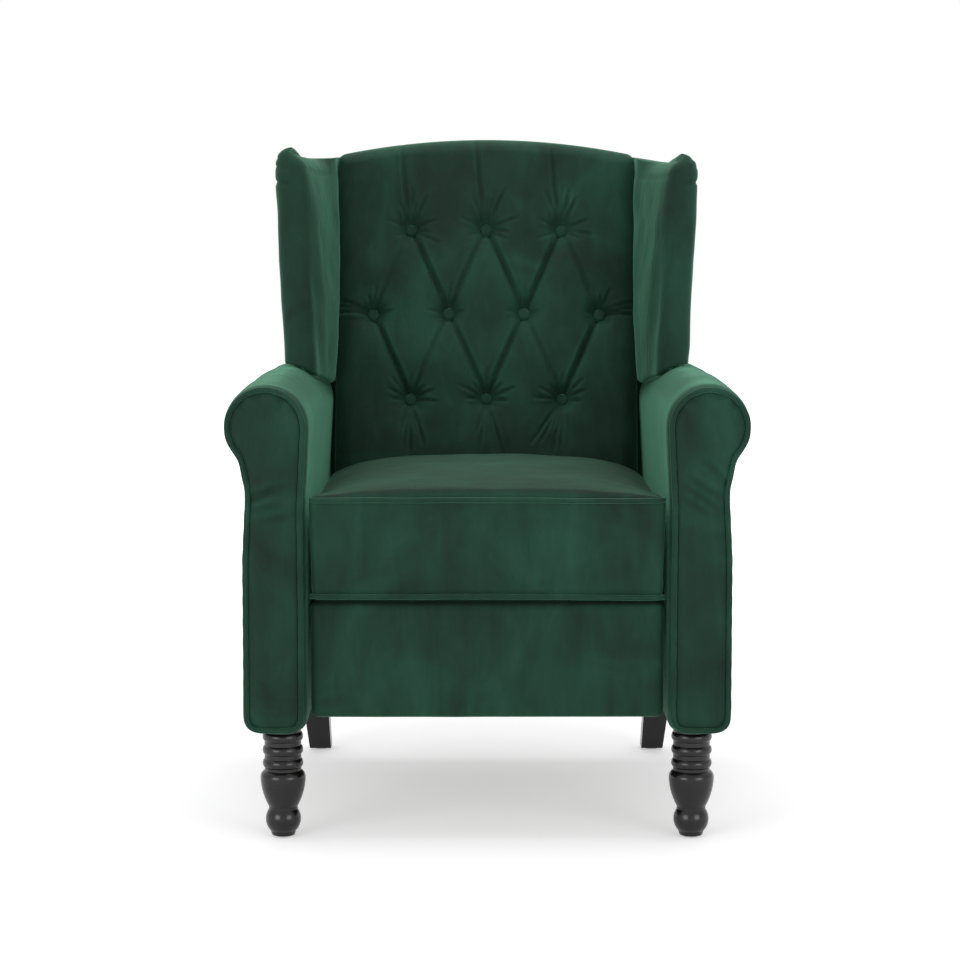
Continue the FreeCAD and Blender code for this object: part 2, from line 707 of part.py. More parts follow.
def bar(name, start, end, number, holes):
    # a flat bar with round ends from pivot to pivot, in a numbered layer
    inner, outer = layer(number)
    (y1, z1), (y2, z2) = PIVOTS[start], PIVOTS[end]
    run, rise = "(%s - %s)" % (y2, y1), "(%s - %s)" % (z2, z1)
    length = "sqrt(%s ^ 2 + %s ^ 2)" % (run, rise)
    flat = doc.addObject("Part::Box", name + "_flat")
    bind(flat, "Length", "bar_thickness")
    bind(flat, "Width", length)
    bind(flat, "Height", "2 * bar_half_width")
    angle = "atan2(%s; %s)" % (rise, run)
    place(flat, inner, "%s + bar_half_width * %s / %s" % (y1, rise, length),
          "%s - bar_half_width * %s / %s" % (z1, run, length), angle)
    ends = [rod(name + "_end_%d" % n, "bar_half_width", (inner, outer), y, z)
            for n, (y, z) in enumerate(((y1, z1), (y2, z2)))]
    bores = [rod("%s_hole_%s" % (name, pivot), radius, (inner, outer), *PIVOTS[pivot])
             for pivot, radius in holes]
    return cut("right_" + name, fuse(name + "_blank", [flat] + ends), bores)


def footrest_links(axles):
    pair("drive_link", bar("drive_link", "drive", "drive_end", 3,
                           [("drive", MOVING_HOLE), ("cross", MOVING_HOLE),
                            ("drive_end", MOVING_HOLE)]))
    pair("rear_link", bar("rear_link", "rear", "swing_end", 1,
                          [("rear", MOVING_HOLE), ("swing_end", OPEN_HOLE)]))
    pair("swing_link", bar("swing_link", "swing_end", "swing_tip", 2,
                           [("cross", MOVING_HOLE), ("swing_tip", MOVING_HOLE),
                            ("swing_end", OPEN_HOLE)]))
    pair("front_link", bar("front_link", "drive_end", "front_tip", 4,
                           [("drive_end", MOVING_HOLE), ("front_tip", OPEN_HOLE)]))
    studs = [stud("drive_stud", *PIVOTS["drive"], number=3),
             stud("rear_stud", *PIVOTS["rear"], number=1)]
    both_sides("seat_plate_studs", axles + studs)
    both_sides("drive_link_rivets", [rivet("cross_rivet", *PIVOTS["cross"], 2, 3),
                                     rivet("drive_end_rivet", *PIVOTS["drive_end"], 3, 4)])
    both_sides("swing_link_rivets", [rivet("swing_tip_rivet", *PIVOTS["swing_tip"], 2, 3)])


def seat_frame():
    start, end = "seat_frame_start", "seat_frame_start + seat_frame_depth"
    low = "plate_top + strap_thickness"
    high = low + " + seat_frame_height"
    block = box("seat_frame_block", ("-seat_frame_half", "seat_frame_half"), (start, end),
                (low, high))
    inside = box("seat_frame_opening",
                 ("-seat_frame_half + seat_frame_wood", "seat_frame_half - seat_frame_wood"),
                 (start + " + seat_frame_wood", end + " - seat_frame_wood"), (low, high))
    node("seat_frame", cut("seat_frame", block, [inside]))


def sinuous_spring(loops):
    # a zigzag wire in the XY plane along +Y, ending in straight tails on the centre line
    radius, reach = num("spring_loop"), num("spring_reach") / 2
    edges = []
    y = 0.0
    side = 1
    start = V(0, 0, 0)
    for number in range(loops):
        edge = V(side * reach, y, 0)
        edges.append(Part.LineSegment(start, edge).toShape())
        turn = V(side * (reach + radius), y + radius, 0)
        start = V(side * reach, y + 2 * radius, 0)
        edges.append(Part.Arc(edge, turn, start).toShape())
        y += 2 * radius
        side = -side
    edges.append(Part.LineSegment(start, V(0, y, 0)).toShape())
    section = Part.Wire(Part.makeCircle(num("spring_wire"), V(0, 0, 0), X_AXIS))
    return Part.Wire(edges).makePipeShell([section], True, True)


def spring_set(name, count, loops, base, turn):
    thing = doc.addObject("Part::Feature", name)
    spring = sinuous_spring(loops)
    pitch = num("spring_pitch")
    copies = []
    for number in range(count):
        copy = spring.copy()
        copy.translate(V((number - (count - 1) / 2) * pitch, 0, 0))
        copies.append(copy)
    thing.Shape = Part.makeCompound(copies)
    thing.Placement = FreeCAD.Placement(base, FreeCAD.Rotation(X_AXIS, turn))
    return node(name, thing)


def seat_springs():
    length = num("seat_frame_depth") - num("seat_frame_wood")
    loops = int(length // (2 * num("spring_loop")))
    spare = num("seat_frame_depth") - loops * 2 * num("spring_loop")
    top = num("plate_top + strap_thickness + seat_frame_height + spring_wire")
    base = V(0, depth_at(num("seat_frame_start") + spare / 2), top)
    spring_set("seat_springs", 5, loops, base, 0)


def seat_section(x, inset, crown):
    # side view of the cushion at one distance from the centre line
    low, high = num("seat_bottom") + inset, num("seat_top") - inset
    front = num("seat_front") + inset
    rear = num(back_face("seat_bottom", "-seat_rear_gap")) - inset
    lean = math.tan(math.radians(num("back_tilt"))) * (high - low)
    a = V(x, depth_at(front), low)
    b = V(x, depth_at(rear), low)
    c = V(x, depth_at(rear + lean), high)
    d = V(x, depth_at(front), high)
    top = V(x, (c.y + d.y) / 2, high + crown)
    return wire([a, b, c, (top, d), a])


def cushion_stations():
    # places across a cushion as shares of its half width, and how far its section is drawn in
    half = ((1, 1), (0.985, 0.45), (0.955, 0.12), (0.9, 0), (0.65, 0), (0.35, 0))
    return [(-share, drawn) for share, drawn in half] + [(0, 0)] + list(reversed(half))


def seat_cushion():
    half, draw, crown = num("seat_half"), num("seat_draw"), num("seat_crown")
    fall = num("seat_side_fall")
    wires = [seat_section(share * half, draw * drawn, crown * (1 - fall * share ** 4))
             for share, drawn in cushion_stations()]
    crowned = loft("seat_cushion_block", wires)
    gap = "soft_gap"
    hollow = box("seat_cushion_hollow",
                 ("-seat_frame_half - " + gap, "seat_frame_half + " + gap),
                 ("seat_frame_start - " + gap, "seat_frame_start + seat_frame_depth + " + gap),
                 ("plate_top",
                  "plate_top + strap_thickness + seat_frame_height + 2 * spring_wire + " + gap))
    node("seat_cushion", cut("seat_cushion", crowned, [hollow]))
    reach = "seat_half - seat_draw - piping_radius"
    lines = [rod("seat_piping_top", "piping_radius", ("-(%s)" % reach, reach),
                 "seat_front - piping_radius", "seat_top - piping_radius"),
             rod("seat_piping_low", "piping_radius", ("-(%s)" % reach, reach),
                 "seat_front - piping_radius", "seat_bottom + piping_radius")]
    node("seat_piping", group("seat_piping", lines))


# footrest

def footrest_section(x, inset, crown):
    low, high = num("footrest_bottom") + inset, num("footrest_top") - inset
    front = num("footrest_front + footrest_crown") + crown
    rear = num("footrest_front + footrest_padding")
    a = V(x, depth_at(rear), low)
    b = V(x, depth_at(front), low)
    c = V(x, depth_at(front), high)
    d = V(x, depth_at(rear), high)
    middle = V(x, depth_at(front - num("footrest_crown")), (low + high) / 2)
    return wire([a, b, (middle, c), d])


def footrest():
    half, draw = num("footrest_half"), num("footrest_draw")
    wires = [footrest_section(share * half, draw * drawn, draw * drawn)
             for share, drawn in cushion_stations()]
    node("footrest_pad", loft("footrest_pad", wires))
    face = "footrest_front + footrest_padding"
    back = face + " + board_thickness"
    node("footrest_board", box("footrest_board", ("-board_half", "board_half"), (face, back), (
        "footrest_bottom + board_inset", "footrest_top - board_inset")))
    inner = layer(3)[0]
    tip, front_tip = PIVOTS["swing_tip"], PIVOTS["front_tip"]
    low, high = front_tip[1] + " - web_foot_drop", tip[1] + " - web_foot_inset"
    points = [
        (back, low), (back, high), (tip[0], tip[1] + " + web_head"),
        (tip[0] + " + web_cheek", tip[1]), (front_tip[0] + " + web_heel", front_tip[1]),
        (front_tip[0] + " + web_heel", front_tip[1] + " - web_cheek"),
        (front_tip[0], front_tip[1] + " - web_sole"),
        (front_tip[0] + " - web_sole", front_tip[1] + " - web_sole"),
    ]
    holes = [tip + (MOVING_HOLE,), front_tip + (OPEN_HOLE,)]
    web = side_plate("footrest_web", points, inner, "bar_thickness", holes)
    foot = box("footrest_flange", (inner + " - web_flange", inner),
               (back, back + " + bar_thickness"), (low, high))
    pair("footrest_bracket", fuse("right_footrest_bracket", [web, foot]))
    screws = []
    for number, height in enumerate((low + " + screw_inset", high + " - screw_inset")):
        screw = doc.addObject("Part::Cylinder", "footrest_screw_%d" % number)
        bind(screw, "Radius", "screw_radius")
        bind(screw, "Height", "screw_head")
        place(screw, inner + " - web_flange / 2", back + " + bar_thickness + screw_head", height,
              "90")
        screws.append(screw)
    both_sides("footrest_screws", screws)


# back

def back_face(height, behind="0"):
    # depth of the sloped face of the back at a height, or of a plane behind it
    return ("back_setback + (%s) / cos(back_tilt) + ((%s) - back_line) * tan(back_tilt)"
            % (behind, height))


def panel_face(height):
    return "panel_foot + ((%s) - panel_low) * tan(panel_tilt)" % height


def sloped(low, high):
    # side view of what fills the back between its frame's face and the outer panel
    face = "back_frame_face"
    return [(back_face(low, face), low), (panel_face(low), low),
            (panel_face(high), high), (back_face(high, face), high)]


def back_frame():
    hinge = (HINGE_DEPTH, "recline_height", "recline_bolt + bolt_play")
    pair("back_stile", side_plate("back_stile", sloped("stile_low", "stile_high"),
                                  "stile_half - stile_width", "stile_width", [hinge]))
    inner = "stile_half - stile_width"
    rails = []
    for name, middle in (("low", "stile_low + back_rail_inset"),
                         ("middle", "back_line + middle_rail_rise"),
                         ("high", "stile_high - back_rail_inset")):
        rail = doc.addObject("Part::Box", "back_rail_" + name)
        bind(rail, "Length", "2 * (%s)" % inner)
        bind(rail, "Width", "back_rail_depth")
        bind(rail, "Height", "back_rail_width")
        place(rail, "-(%s)" % inner, back_face(middle, "back_frame_face"), middle, "-back_tilt")
        rails.append(rail)
    node("back_rails", group("back_rails", rails))
    side = "stile_half + bracket_thickness"
    pair("back_side_pad", side_plate("back_side_pad", sloped("side_pad_low", "side_pad_high"),
                                     side, "side_pad_half - (%s)" % side))


def back_brackets():
    def at(backwards, upwards):
        # a place counted from the hinge
        return "%s + %s" % (HINGE_DEPTH, backwards), "recline_height + %s" % upwards

    points = [
        at("(-bracket_reach)", "bracket_height"),
        at("(-bracket_reach / 4)", "bracket_height"),
        at("bracket_round", "bracket_round"),
        at("bracket_round", "(-bracket_round / 2)"),
        at("bracket_round / 2", "(-bracket_round)"),
        at("(-bracket_round / 2)", "(-bracket_round)"),
        at("(-1.5 * bracket_reach)", "bracket_reach"),
    ]
    hinge = (HINGE_DEPTH, "recline_height", "recline_bolt + bolt_play")
    plate = side_plate("back_bracket", points, "stile_half", "bracket_thickness", [hinge])
    pair("back_bracket", plate)
    inside = "stile_half - recline_bolt_grip"
    head = "plate_inner + plate_thickness + running_play"
    shaft = rod("recline_shaft", "recline_bolt", (inside, head), HINGE_DEPTH, "recline_height")
    cap = rod("recline_cap", "recline_bolt + rivet_rim", (head, head + " + recline_bolt_head"),
              HINGE_DEPTH, "recline_height")
    both_sides("recline_bolts", [fuse("recline_bolt_solid", [shaft, cap])])


def crown_at(x):
    # how far the face of the back falls away from its middle
    return num("back_crown") * (x / num("back_half")) ** 2


def back_section(x, face, top):
    # side view of the padding in the frame of the sloped face: y backwards, z up the slope
    low = num("back_pad_low")
    rear = num("back_pad_depth")
    shelf = num("back_pad_high - back_top_block")
    round_off, foot = num("back_edge"), num("back_foot")
    low_end, shelf_end = panel_gap(shelf), panel_gap(top - foot)
    a = V(x, face, low + foot)
    b = V(x, face, top - round_off)
    c = V(x, face + round_off, top)
    bend = round_off * (1 - math.sqrt(0.5))
    crest = V(x, face + bend, top - bend)
    return wire([a, b, (crest, c), V(x, shelf_end - foot, top), V(x, shelf_end, top - foot),
                 V(x, low_end, shelf), V(x, rear, shelf), V(x, rear, low),
                 V(x, face + foot, low)])


def panel_gap(up):
    # distance behind the sloped face to just before the outer panel, at a place up the slope
    tilt, steep = math.radians(num("back_tilt")), math.radians(num("panel_tilt"))
    start = num(back_face("panel_low"))
    foot = (num("panel_foot") - start) * math.cos(tilt)
    foot_up = (num("panel_low - back_line")) / math.cos(tilt) + foot * math.tan(tilt)
    return foot - (up - foot_up) * math.tan(tilt - steep) - num("soft_gap")


def tufts():
    # places of the buttons as across and up the slope, rows from below
    across, up = num("tuft_pitch_across"), num("tuft_pitch_up")
    first = num("tuft_first")
    rows = [[-across, 0, across], [-1.5 * across, -0.5 * across, 0.5 * across, 1.5 * across],
            [-across, 0, across]]
    return [[(x, first + number * up) for x in row] for number, row in enumerate(rows)]


def groove(start, end):
    # a pleat pressed in between two places on the padding, as a thin wedge that also
    # stands out ahead of the face
    depth, width = num("pleat_depth"), num("pleat_width")
    ends = []
    along = V(end[0] - start[0], 0, end[1] - start[1]).normalize()
    aside = V(along.z, 0, -along.x) * width
    for x, up in (start, end):
        face = crown_at(x)
        bottom = V(x, face + depth, up)
        mouth = V(x, face - depth / 2, up)
        ends.append(Part.makePolygon([bottom, mouth + aside, mouth - aside, bottom]))
    return Part.makeLoft(ends, True, True)


def pleats():
    # between the buttons, then from the outer rows up, down and sideways to the edges
    rows = tufts()
    lines = []
    for low, high in ((rows[0], rows[1]), (rows[1], rows[2])):
        for spot in low:
            for other in high:
                if abs(other[0] - spot[0]) < num("tuft_pitch_across"):
                    lines.append((spot, other))
    lean = 1 + num("pleat_width / back_half")
    lines += [((x, up), (x * lean, num("back_pad_high - back_edge"))) for x, up in rows[2]]
    lines += [((x, up), (x * lean, 0)) for x, up in rows[0]]
    beyond = num("back_half + pleat_width")
    lines += [((x, up), (math.copysign(beyond, x), up + num("pleat_width")))
              for x, up in (rows[1][0], rows[1][-1])]
    return [groove(start, end) for start, end in lines]


def back_pad():
    half, high, arch = num("back_half"), num("back_pad_high"), num("back_arch")
    stations = (-1, -0.93, -0.5, 0, 0.5, 0.93, 1)
    wires = []
    for share in stations:
        x = share * half
        drawn = num("back_draw") if abs(share) == 1 else 0
        wires.append(back_section(x, crown_at(x) + drawn, high - arch * share ** 2 - drawn))
    blank = Part.makeLoft(wires, True, False)
    depth, spread, button = num("tuft_depth"), num("tuft_spread"), num("button_radius")
    tools = pleats()
    ahead = depth / 3
    for row in tufts():
        for x, up in row:
            mouth = V(x, crown_at(x) - ahead, up)
            tools.append(Part.makeCone(spread * (1 + ahead / depth), button + num("soft_gap"),
                                       depth + ahead, mouth, V(0, 1, 0)))
    tufted = blank.cut(tools)
    thing = doc.addObject("Part::Feature", "back_pad")
    thing.Shape = tufted
    thing.Placement = back_placement()
    node("back_pad", thing)
    buttons = []
    thickness = num("button_thickness")
    for row in tufts():
        for x, up in row:
            back = crown_at(x) + depth
            buttons.append(Part.makeCylinder(button, thickness, V(x, back - thickness, up),
                                             V(0, 1, 0)))
    thing = doc.addObject("Part::Feature", "tufting_buttons")
    thing.Shape = Part.makeCompound(buttons)
    thing.Placement = back_placement()
    node("tufting_buttons", thing)


def back_placement():
    base = V(0, depth_at(num("back_setback")), num("back_line"))
    return FreeCAD.Placement(base, FreeCAD.Rotation(X_AXIS, -num("back_tilt")))


def back_springs():
    slope = math.radians(num("back_tilt"))
    low = num("back_line + middle_rail_rise")
    high = num("stile_high - back_rail_inset + back_rail_width / 2")
    loops = int((high - low) / math.cos(slope) // (2 * num("spring_loop")))
    behind = num("back_frame_face") - num("spring_wire")
    start = (num("middle_rail_rise") + num("spring_loop")) / math.cos(slope)
    base = back_placement().multVec(V(0, behind, start))
    spring_set("back_springs", 4, loops, base, 90 - num("back_tilt"))


def outer_back_panel():
    body, sketch = make_body("outer_back_panel", "XZ_Plane")

    def up(height):
        return "((%s) - panel_low) / cos(panel_tilt)" % height

    rise = "(panel_crest - panel_corner_height) / cos(panel_tilt)"
    crest_radius = "(panel_half_high ^ 2 + (%s) ^ 2) / (2 * (%s))" % (rise, rise)
    low, high = "panel_half_low", "panel_half_high"
    step, corner = up(WING_LOW), up("panel_corner_height")
    outline(sketch, [
        (low, "0"), (low, step), (high, step), (high, corner),
        ("-" + high, corner, crest_radius, 1),
        ("-" + high, step), ("-" + low, step), ("-" + low, "0"),
    ])
    pad(body, sketch, "panel_thickness", backwards=True)
    place(body, "0", "panel_foot", "panel_low", "-panel_tilt")
    node("outer_back_panel", body)


# wings

def wing_section(height, front, outer, padding=0.0, top_inset=0.0):
    # plan of a wing at one height. padding draws the outline in from all sides for the board
    rear = num(panel_face(height)) - padding
    inner_rear = num("back_half + wing_side_gap") + padding
    meet = num(back_face(height)) + num("wing_tuck") + padding / 2
    outer_rear = num("panel_half_high") - padding - top_inset
    inner = outer - num("wing_thickness") + padding + top_inset / 2
    outside = outer - padding - top_inset
    cheek = depth_at(front + num("wing_cheek") + padding + top_inset)
    a = V(inner_rear, depth_at(rear), height)
    b = V(inner_rear, depth_at(meet), height)
    c = V(inner, cheek, height)
    d = V(outside, cheek, height)
    e = V(outer_rear, depth_at(rear), height)
    nose = V((inner + outside) / 2, cheek - num("board_nose" if padding else "wing_nose"), height)
    return wire([a, b, c, (nose, d), e])


def wings():
    low, high, shoulder = num(WING_LOW), num("wing_high"), num("wing_shoulder")
    front_low, front_high = num("wing_front_low"), num("wing_front_high")
    outer_low, outer_high = num("wing_outer_low"), num("wing_outer_high")
    drawn = num("wing_round")

    def at(height):
        share = (height - low) / (shoulder - low)
        return (front_low + share * (front_high - front_low),
                outer_low + share * (outer_high - outer_low))

    middle = (low + shoulder) / 2
    wires = [wing_section(height, *at(height)) for height in (low, middle, shoulder)]
    wires.append(wing_section(high - num("wing_cap"), *at(shoulder), top_inset=drawn / 3))
    wires.append(wing_section(high, front_high + drawn / 3, outer_high, top_inset=drawn))
    padded = loft("wing_block", wires)
    core = num("wing_thickness - wing_board") / 2
    ends = [wing_section(height, *at(height), padding=core)
            for height in (low + num("wing_board_rise"), shoulder - num("wing_cap") / 2)]
    board = loft("right_wing_frame", ends)
    pair("wing_pad", cut("right_wing_pad", padded, [board]))
    pair("wing_frame", board)


def check_and_write():
    doc.recompute()
    for thing in doc.Objects:
        if "Invalid" in thing.State or "Error" in thing.State:
            raise RuntimeError("%s failed: %s" % (thing.Label, thing.State))
    for thing in nodes:
        shape = thing.Shape
        if shape.isNull() or not shape.isValid() or shape.Volume <= 0:
            raise RuntimeError("%s has no valid shape" % thing.Label)
    os.makedirs("parts", exist_ok=True)
    for thing in nodes:
        thing.Shape.exportStep("parts/%s.step" % thing.Label)
    whole = Part.makeCompound([thing.Shape for thing in nodes]).BoundBox
    print(len(nodes), "nodes", whole)


fill_sheet()
legs()
arms()
base_cross_pieces()
slide_rails()
seat_plates()
footrest_links(rollers())
seat_frame()
seat_springs()
seat_cushion()
footrest()
back_frame()
back_brackets()
back_pad()
back_springs()
outer_back_panel()
wings()
check_and_write()
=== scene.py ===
import json
import math

import bmesh
import bpy
import numpy as np
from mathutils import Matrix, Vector, noise


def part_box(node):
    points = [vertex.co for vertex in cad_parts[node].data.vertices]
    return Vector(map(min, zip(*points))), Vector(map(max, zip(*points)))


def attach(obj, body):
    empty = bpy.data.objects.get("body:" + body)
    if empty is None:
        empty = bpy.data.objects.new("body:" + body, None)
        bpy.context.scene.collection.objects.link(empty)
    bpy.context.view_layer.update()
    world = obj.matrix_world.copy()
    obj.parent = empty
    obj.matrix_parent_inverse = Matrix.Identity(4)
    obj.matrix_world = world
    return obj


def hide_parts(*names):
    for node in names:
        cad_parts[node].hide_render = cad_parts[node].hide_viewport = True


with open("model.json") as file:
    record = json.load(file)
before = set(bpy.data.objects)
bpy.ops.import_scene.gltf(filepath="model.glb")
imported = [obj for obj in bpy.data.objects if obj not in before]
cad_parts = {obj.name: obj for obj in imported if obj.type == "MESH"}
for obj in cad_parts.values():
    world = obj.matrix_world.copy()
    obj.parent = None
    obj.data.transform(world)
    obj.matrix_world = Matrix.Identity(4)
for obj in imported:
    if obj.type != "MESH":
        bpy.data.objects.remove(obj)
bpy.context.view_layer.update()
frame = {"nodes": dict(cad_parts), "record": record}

# Wingback recliner in crushed velvet. Lengths are metres in the row frame: the front faces -Y, Z up.
# Depths are counted backwards from the front plane of the arms.

arm_low, arm_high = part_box("right_arm_cover")
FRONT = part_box("right_arm_facing")[0].y

# arms
ROLL_RADIUS = 0.060
ROLL_X = arm_high.x - ROLL_RADIUS
ROLL_Z = arm_high.z - ROLL_RADIUS
ARM_INNER = 0.252
ARM_OUTER = 0.343
ARM_CORNER = 0.016
ARM_REAR_DRAW = 0.013
PIPING_RADIUS = 0.0038
PIPING_INSET = 0.007

# back, in its own sloped frame: across, behind the face, up the slope
BACK_TILT = math.radians(16)
BACK_DEPTH = 0.545
BACK_LINE = 0.480
BACK_HALF = 0.2435
BACK_LOW = -0.125
BACK_HIGH = 0.550
BACK_ARCH = 0.022
BACK_CROWN = 0.014
TUFT_ACROSS = 0.122
TUFT_UP = 0.141
TUFT_FIRST = 0.113
PANEL_TILT = math.radians(11.2)
PANEL_DEPTH = 0.660
PANEL_FOOT = 0.305
BUTTON_RADIUS = 0.0100
BUTTON_HEIGHT = 0.0055
BUTTON_DEPTH = 0.0175

# wings
WING_LOW = 0.612
WING_HIGH = 0.945
WING_SHOULDER = 0.952
WING_INNER = 0.2455
WING_OUTER_REAR = 0.320

PAD_STEP = 0.0065
WHITE = (1, 1, 1, 1)
SIDES = (("right", 1), ("left", -1))


# numbers and curves

def wander(points, size, seed=0):
    """Smooth noise from -1 to 1 whose patches have the given size."""
    shift = Vector((seed * 7.31, seed * -4.17, seed * 2.73))
    return np.array([noise.noise(Vector(p) / size + shift) for p in np.asarray(points)])


def unevenness(points, *layers):
    """Layers of smooth noise added up, each given by its height, patch size and seed."""
    return sum(height * wander(points, size, seed) for height, size, seed in layers)


def smooth_step(values, low, high):
    share = np.clip((np.asarray(values, float) - low) / (high - low), 0, 1)
    return share * share * (3 - 2 * share)


def bump(values, centre, width):
    return np.exp(-((np.asarray(values, float) - centre) / width) ** 2)


def arc(centre, radius, start, end, steps=24):
    """Points of an arc between two angles in degrees."""
    angles = np.radians(np.linspace(start, end, steps))
    return [(centre[0] + radius * math.cos(a), centre[1] + radius * math.sin(a)) for a in angles]


def even_steps(points, count, closed=True):
    """The same line with its points at even steps."""
    points = np.asarray(points, float)
    if closed:
        points = np.vstack([points, points[:1]])
    lengths = np.linalg.norm(np.diff(points, axis=0), axis=1)
    along = np.concatenate([[0], np.cumsum(lengths)])
    wanted = np.linspace(0, along[-1], count, endpoint=not closed)
    return np.column_stack([np.interp(wanted, along, column) for column in points.T])


def soften(points, passes):
    """Rounds the corners of a closed line of even steps."""
    for _ in range(passes):
        points = 0.5 * points + 0.25 * (np.roll(points, 1, 0) + np.roll(points, -1, 0))
    return points


def outward(ring):
    """Unit normals of a closed plane line, pointing away from its inside."""
    tangent = np.roll(ring, -1, 0) - np.roll(ring, 1, 0)
    normal = np.column_stack([tangent[:, 1], -tangent[:, 0]])
    normal /= np.linalg.norm(normal, axis=1)[:, None]
    area = np.sum(ring[:, 0] * np.roll(ring[:, 1], -1) - np.roll(ring[:, 0], -1) * ring[:, 1])
    return normal if area > 0 else -normal


def nearest_on(points, line, closed=True):
    """Distance to a line, and how far along it the nearest place is."""
    points = np.asarray(points, float)
    ends = np.roll(line, -1, 0) if closed else line[1:]
    starts = line if closed else line[:-1]
    lengths = np.linalg.norm(ends - starts, axis=1)
    before = np.concatenate([[0], np.cumsum(lengths)[:-1]])
    best = np.full(len(points), 1e9)
    along = np.zeros(len(points))
    for start, end, length, offset in zip(starts, ends, lengths, before):
        way = end - start
        share = np.clip((points - start) @ way / max(length ** 2, 1e-12), 0, 1)
        distance = np.linalg.norm(points - start - share[:, None] * way, axis=1)
        closer = distance < best
        best[closer] = distance[closer]
        along[closer] = offset + share[closer] * length
    return best, along


def rolled(distance, radius):
    """Height of a rounded edge at a distance from it: 0 at the edge, radius once past it."""
    share = np.clip(np.asarray(distance, float) / radius, 0, 1)
    return radius * np.sqrt(1 - (1 - share) ** 2)


# meshes

def grid_faces(rows, cols, wrap=False, start=0):
    """Four-sided faces of a grid of points; wrap joins the last column to the first."""
    faces = []
    for row in range(rows - 1):
        for col in range(cols if wrap else cols - 1):
            following = (col + 1) % cols
            a, b = start + row * cols + col, start + row * cols + following
            faces.append((a, b, b + cols, a + cols))
    return faces


def joined(shapes):
    """Several shapes, each with its points and faces, as one."""
    points, faces, start = [], [], 0
    for shape_points, shape_faces in shapes:
        points.append(shape_points)
        faces += [tuple(n + start for n in face) for face in shape_faces]
        start += len(shape_points)
    return np.vstack(points), faces


def standing(spots, side=1, depth=0.0):
    """Places in space of spots on an upright plane across the chair, mirrored for the left side."""
    return np.column_stack([spots[:, 0] * side, np.full(len(spots), depth), spots[:, 1]])


def piece(name, points, faces, material, body, stands_for=()):
    mesh = bpy.data.meshes.new(name)
    mesh.from_pydata([tuple(map(float, p)) for p in points], [], faces)
    shape = bmesh.new()
    shape.from_mesh(mesh)
    bmesh.ops.remove_doubles(shape, verts=shape.verts, dist=1e-5)
    bmesh.ops.recalc_face_normals(shape, faces=shape.faces)
    shape.to_mesh(mesh)
    shape.free()
    finish_piece(name, mesh, material, body, stands_for)


def finish_piece(name, mesh, material, body, stands_for=()):
    mesh.polygons.foreach_set("use_smooth", [True] * len(mesh.polygons))
    mesh.materials.clear()
    mesh.materials.append(material)
    thing = bpy.data.objects.new(name, mesh)
    bpy.context.scene.collection.objects.link(thing)
    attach(thing, body)
    if stands_for:
        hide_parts(*stands_for)


def tube(path, radius, closed=True, sides=10, steady=(0, 1, 0)):
    """Points and faces of a tube along a path; steady is square to the whole path."""
    path = np.asarray(path, float)
    if closed:
        tangent = np.roll(path, -1, 0) - np.roll(path, 1, 0)
    else:
        tangent = np.gradient(path, axis=0)
    tangent /= np.linalg.norm(tangent, axis=1)[:, None]
    across = np.cross(tangent, np.asarray(steady, float))
    across /= np.linalg.norm(across, axis=1)[:, None]
    third = np.cross(across, tangent)
    radius = np.broadcast_to(radius, len(path))
    rings = []
    for number in range(sides):
        angle = 2 * math.pi * number / sides
        rings.append(path + radius[:, None] * (math.cos(angle) * across + math.sin(angle) * third))
    points = np.stack(rings, axis=1).reshape(-1, 3)
    count = len(path)
    faces = grid_faces(count, sides, wrap=True)
    if closed:
        last, first = (count - 1) * sides, 0
        for side in range(sides):
            following = (side + 1) % sides
            faces.append((last + side, last + following, first + following, first + side))
    else:
        faces.append(tuple(range(sides)))
        faces.append(tuple(range((count - 1) * sides, count * sides)))
    return points, faces


def scan_grid(outline, rows, cols):
    """A grid that fills a closed plane outline, level by level, closer together at its edge."""
    low, high = outline[:, 1].min(), outline[:, 1].max()
    bottom, top = int(outline[:, 1].argmin()), int(outline[:, 1].argmax())
    turned = np.roll(outline, -bottom, axis=0)
    split = (top - bottom) % len(outline)
    chains = [turned[:split + 1], np.vstack([turned[split:], turned[:1]])[::-1]]
    edge = (1 - np.cos(np.linspace(0, math.pi, rows))) / 2
    levels = low + (high - low) * (0.35 * np.linspace(0, 1, rows) + 0.65 * edge)
    sides = [np.interp(levels, chain[:, 1], chain[:, 0]) for chain in chains]
    across = np.linspace(0, 1, cols)
    across = 0.4 * across + 0.6 * (1 - np.cos(math.pi * across)) / 2
    x = sides[0][:, None] + (sides[1] - sides[0])[:, None] * across[None, :]
    z = np.repeat(levels[:, None], cols, axis=1)
    return np.column_stack([x.ravel(), z.ravel()])


def rounded_block(low, high, radius, step):
    """A box with rounded edges as an even grid of points on all six sides."""
    low, high = np.asarray(low, float), np.asarray(high, float)
    size = high - low
    counts = np.maximum((size / step).astype(int), 2)
    index, points, faces = {}, [], []

    def point(key):
        if key not in index:
            index[key] = len(points)
            spot = low + size * np.array(key) / counts
            core = np.clip(spot, low + radius, high - radius)
            away = spot - core
            length = np.linalg.norm(away)
            points.append(core + away * (radius / length) if length > 1e-9 else spot)
        return index[key]

    for axis in range(3):
        first, second = [other for other in range(3) if other != axis]
        for end in (0, counts[axis]):
            for i in range(counts[first]):
                for j in range(counts[second]):
                    corners = []
                    for di, dj in ((0, 0), (1, 0), (1, 1), (0, 1)):
                        key = [0, 0, 0]
                        key[axis], key[first], key[second] = int(end), i + di, j + dj
                        corners.append(point(tuple(key)))
                    faces.append(tuple(corners))
    return np.array(points), faces


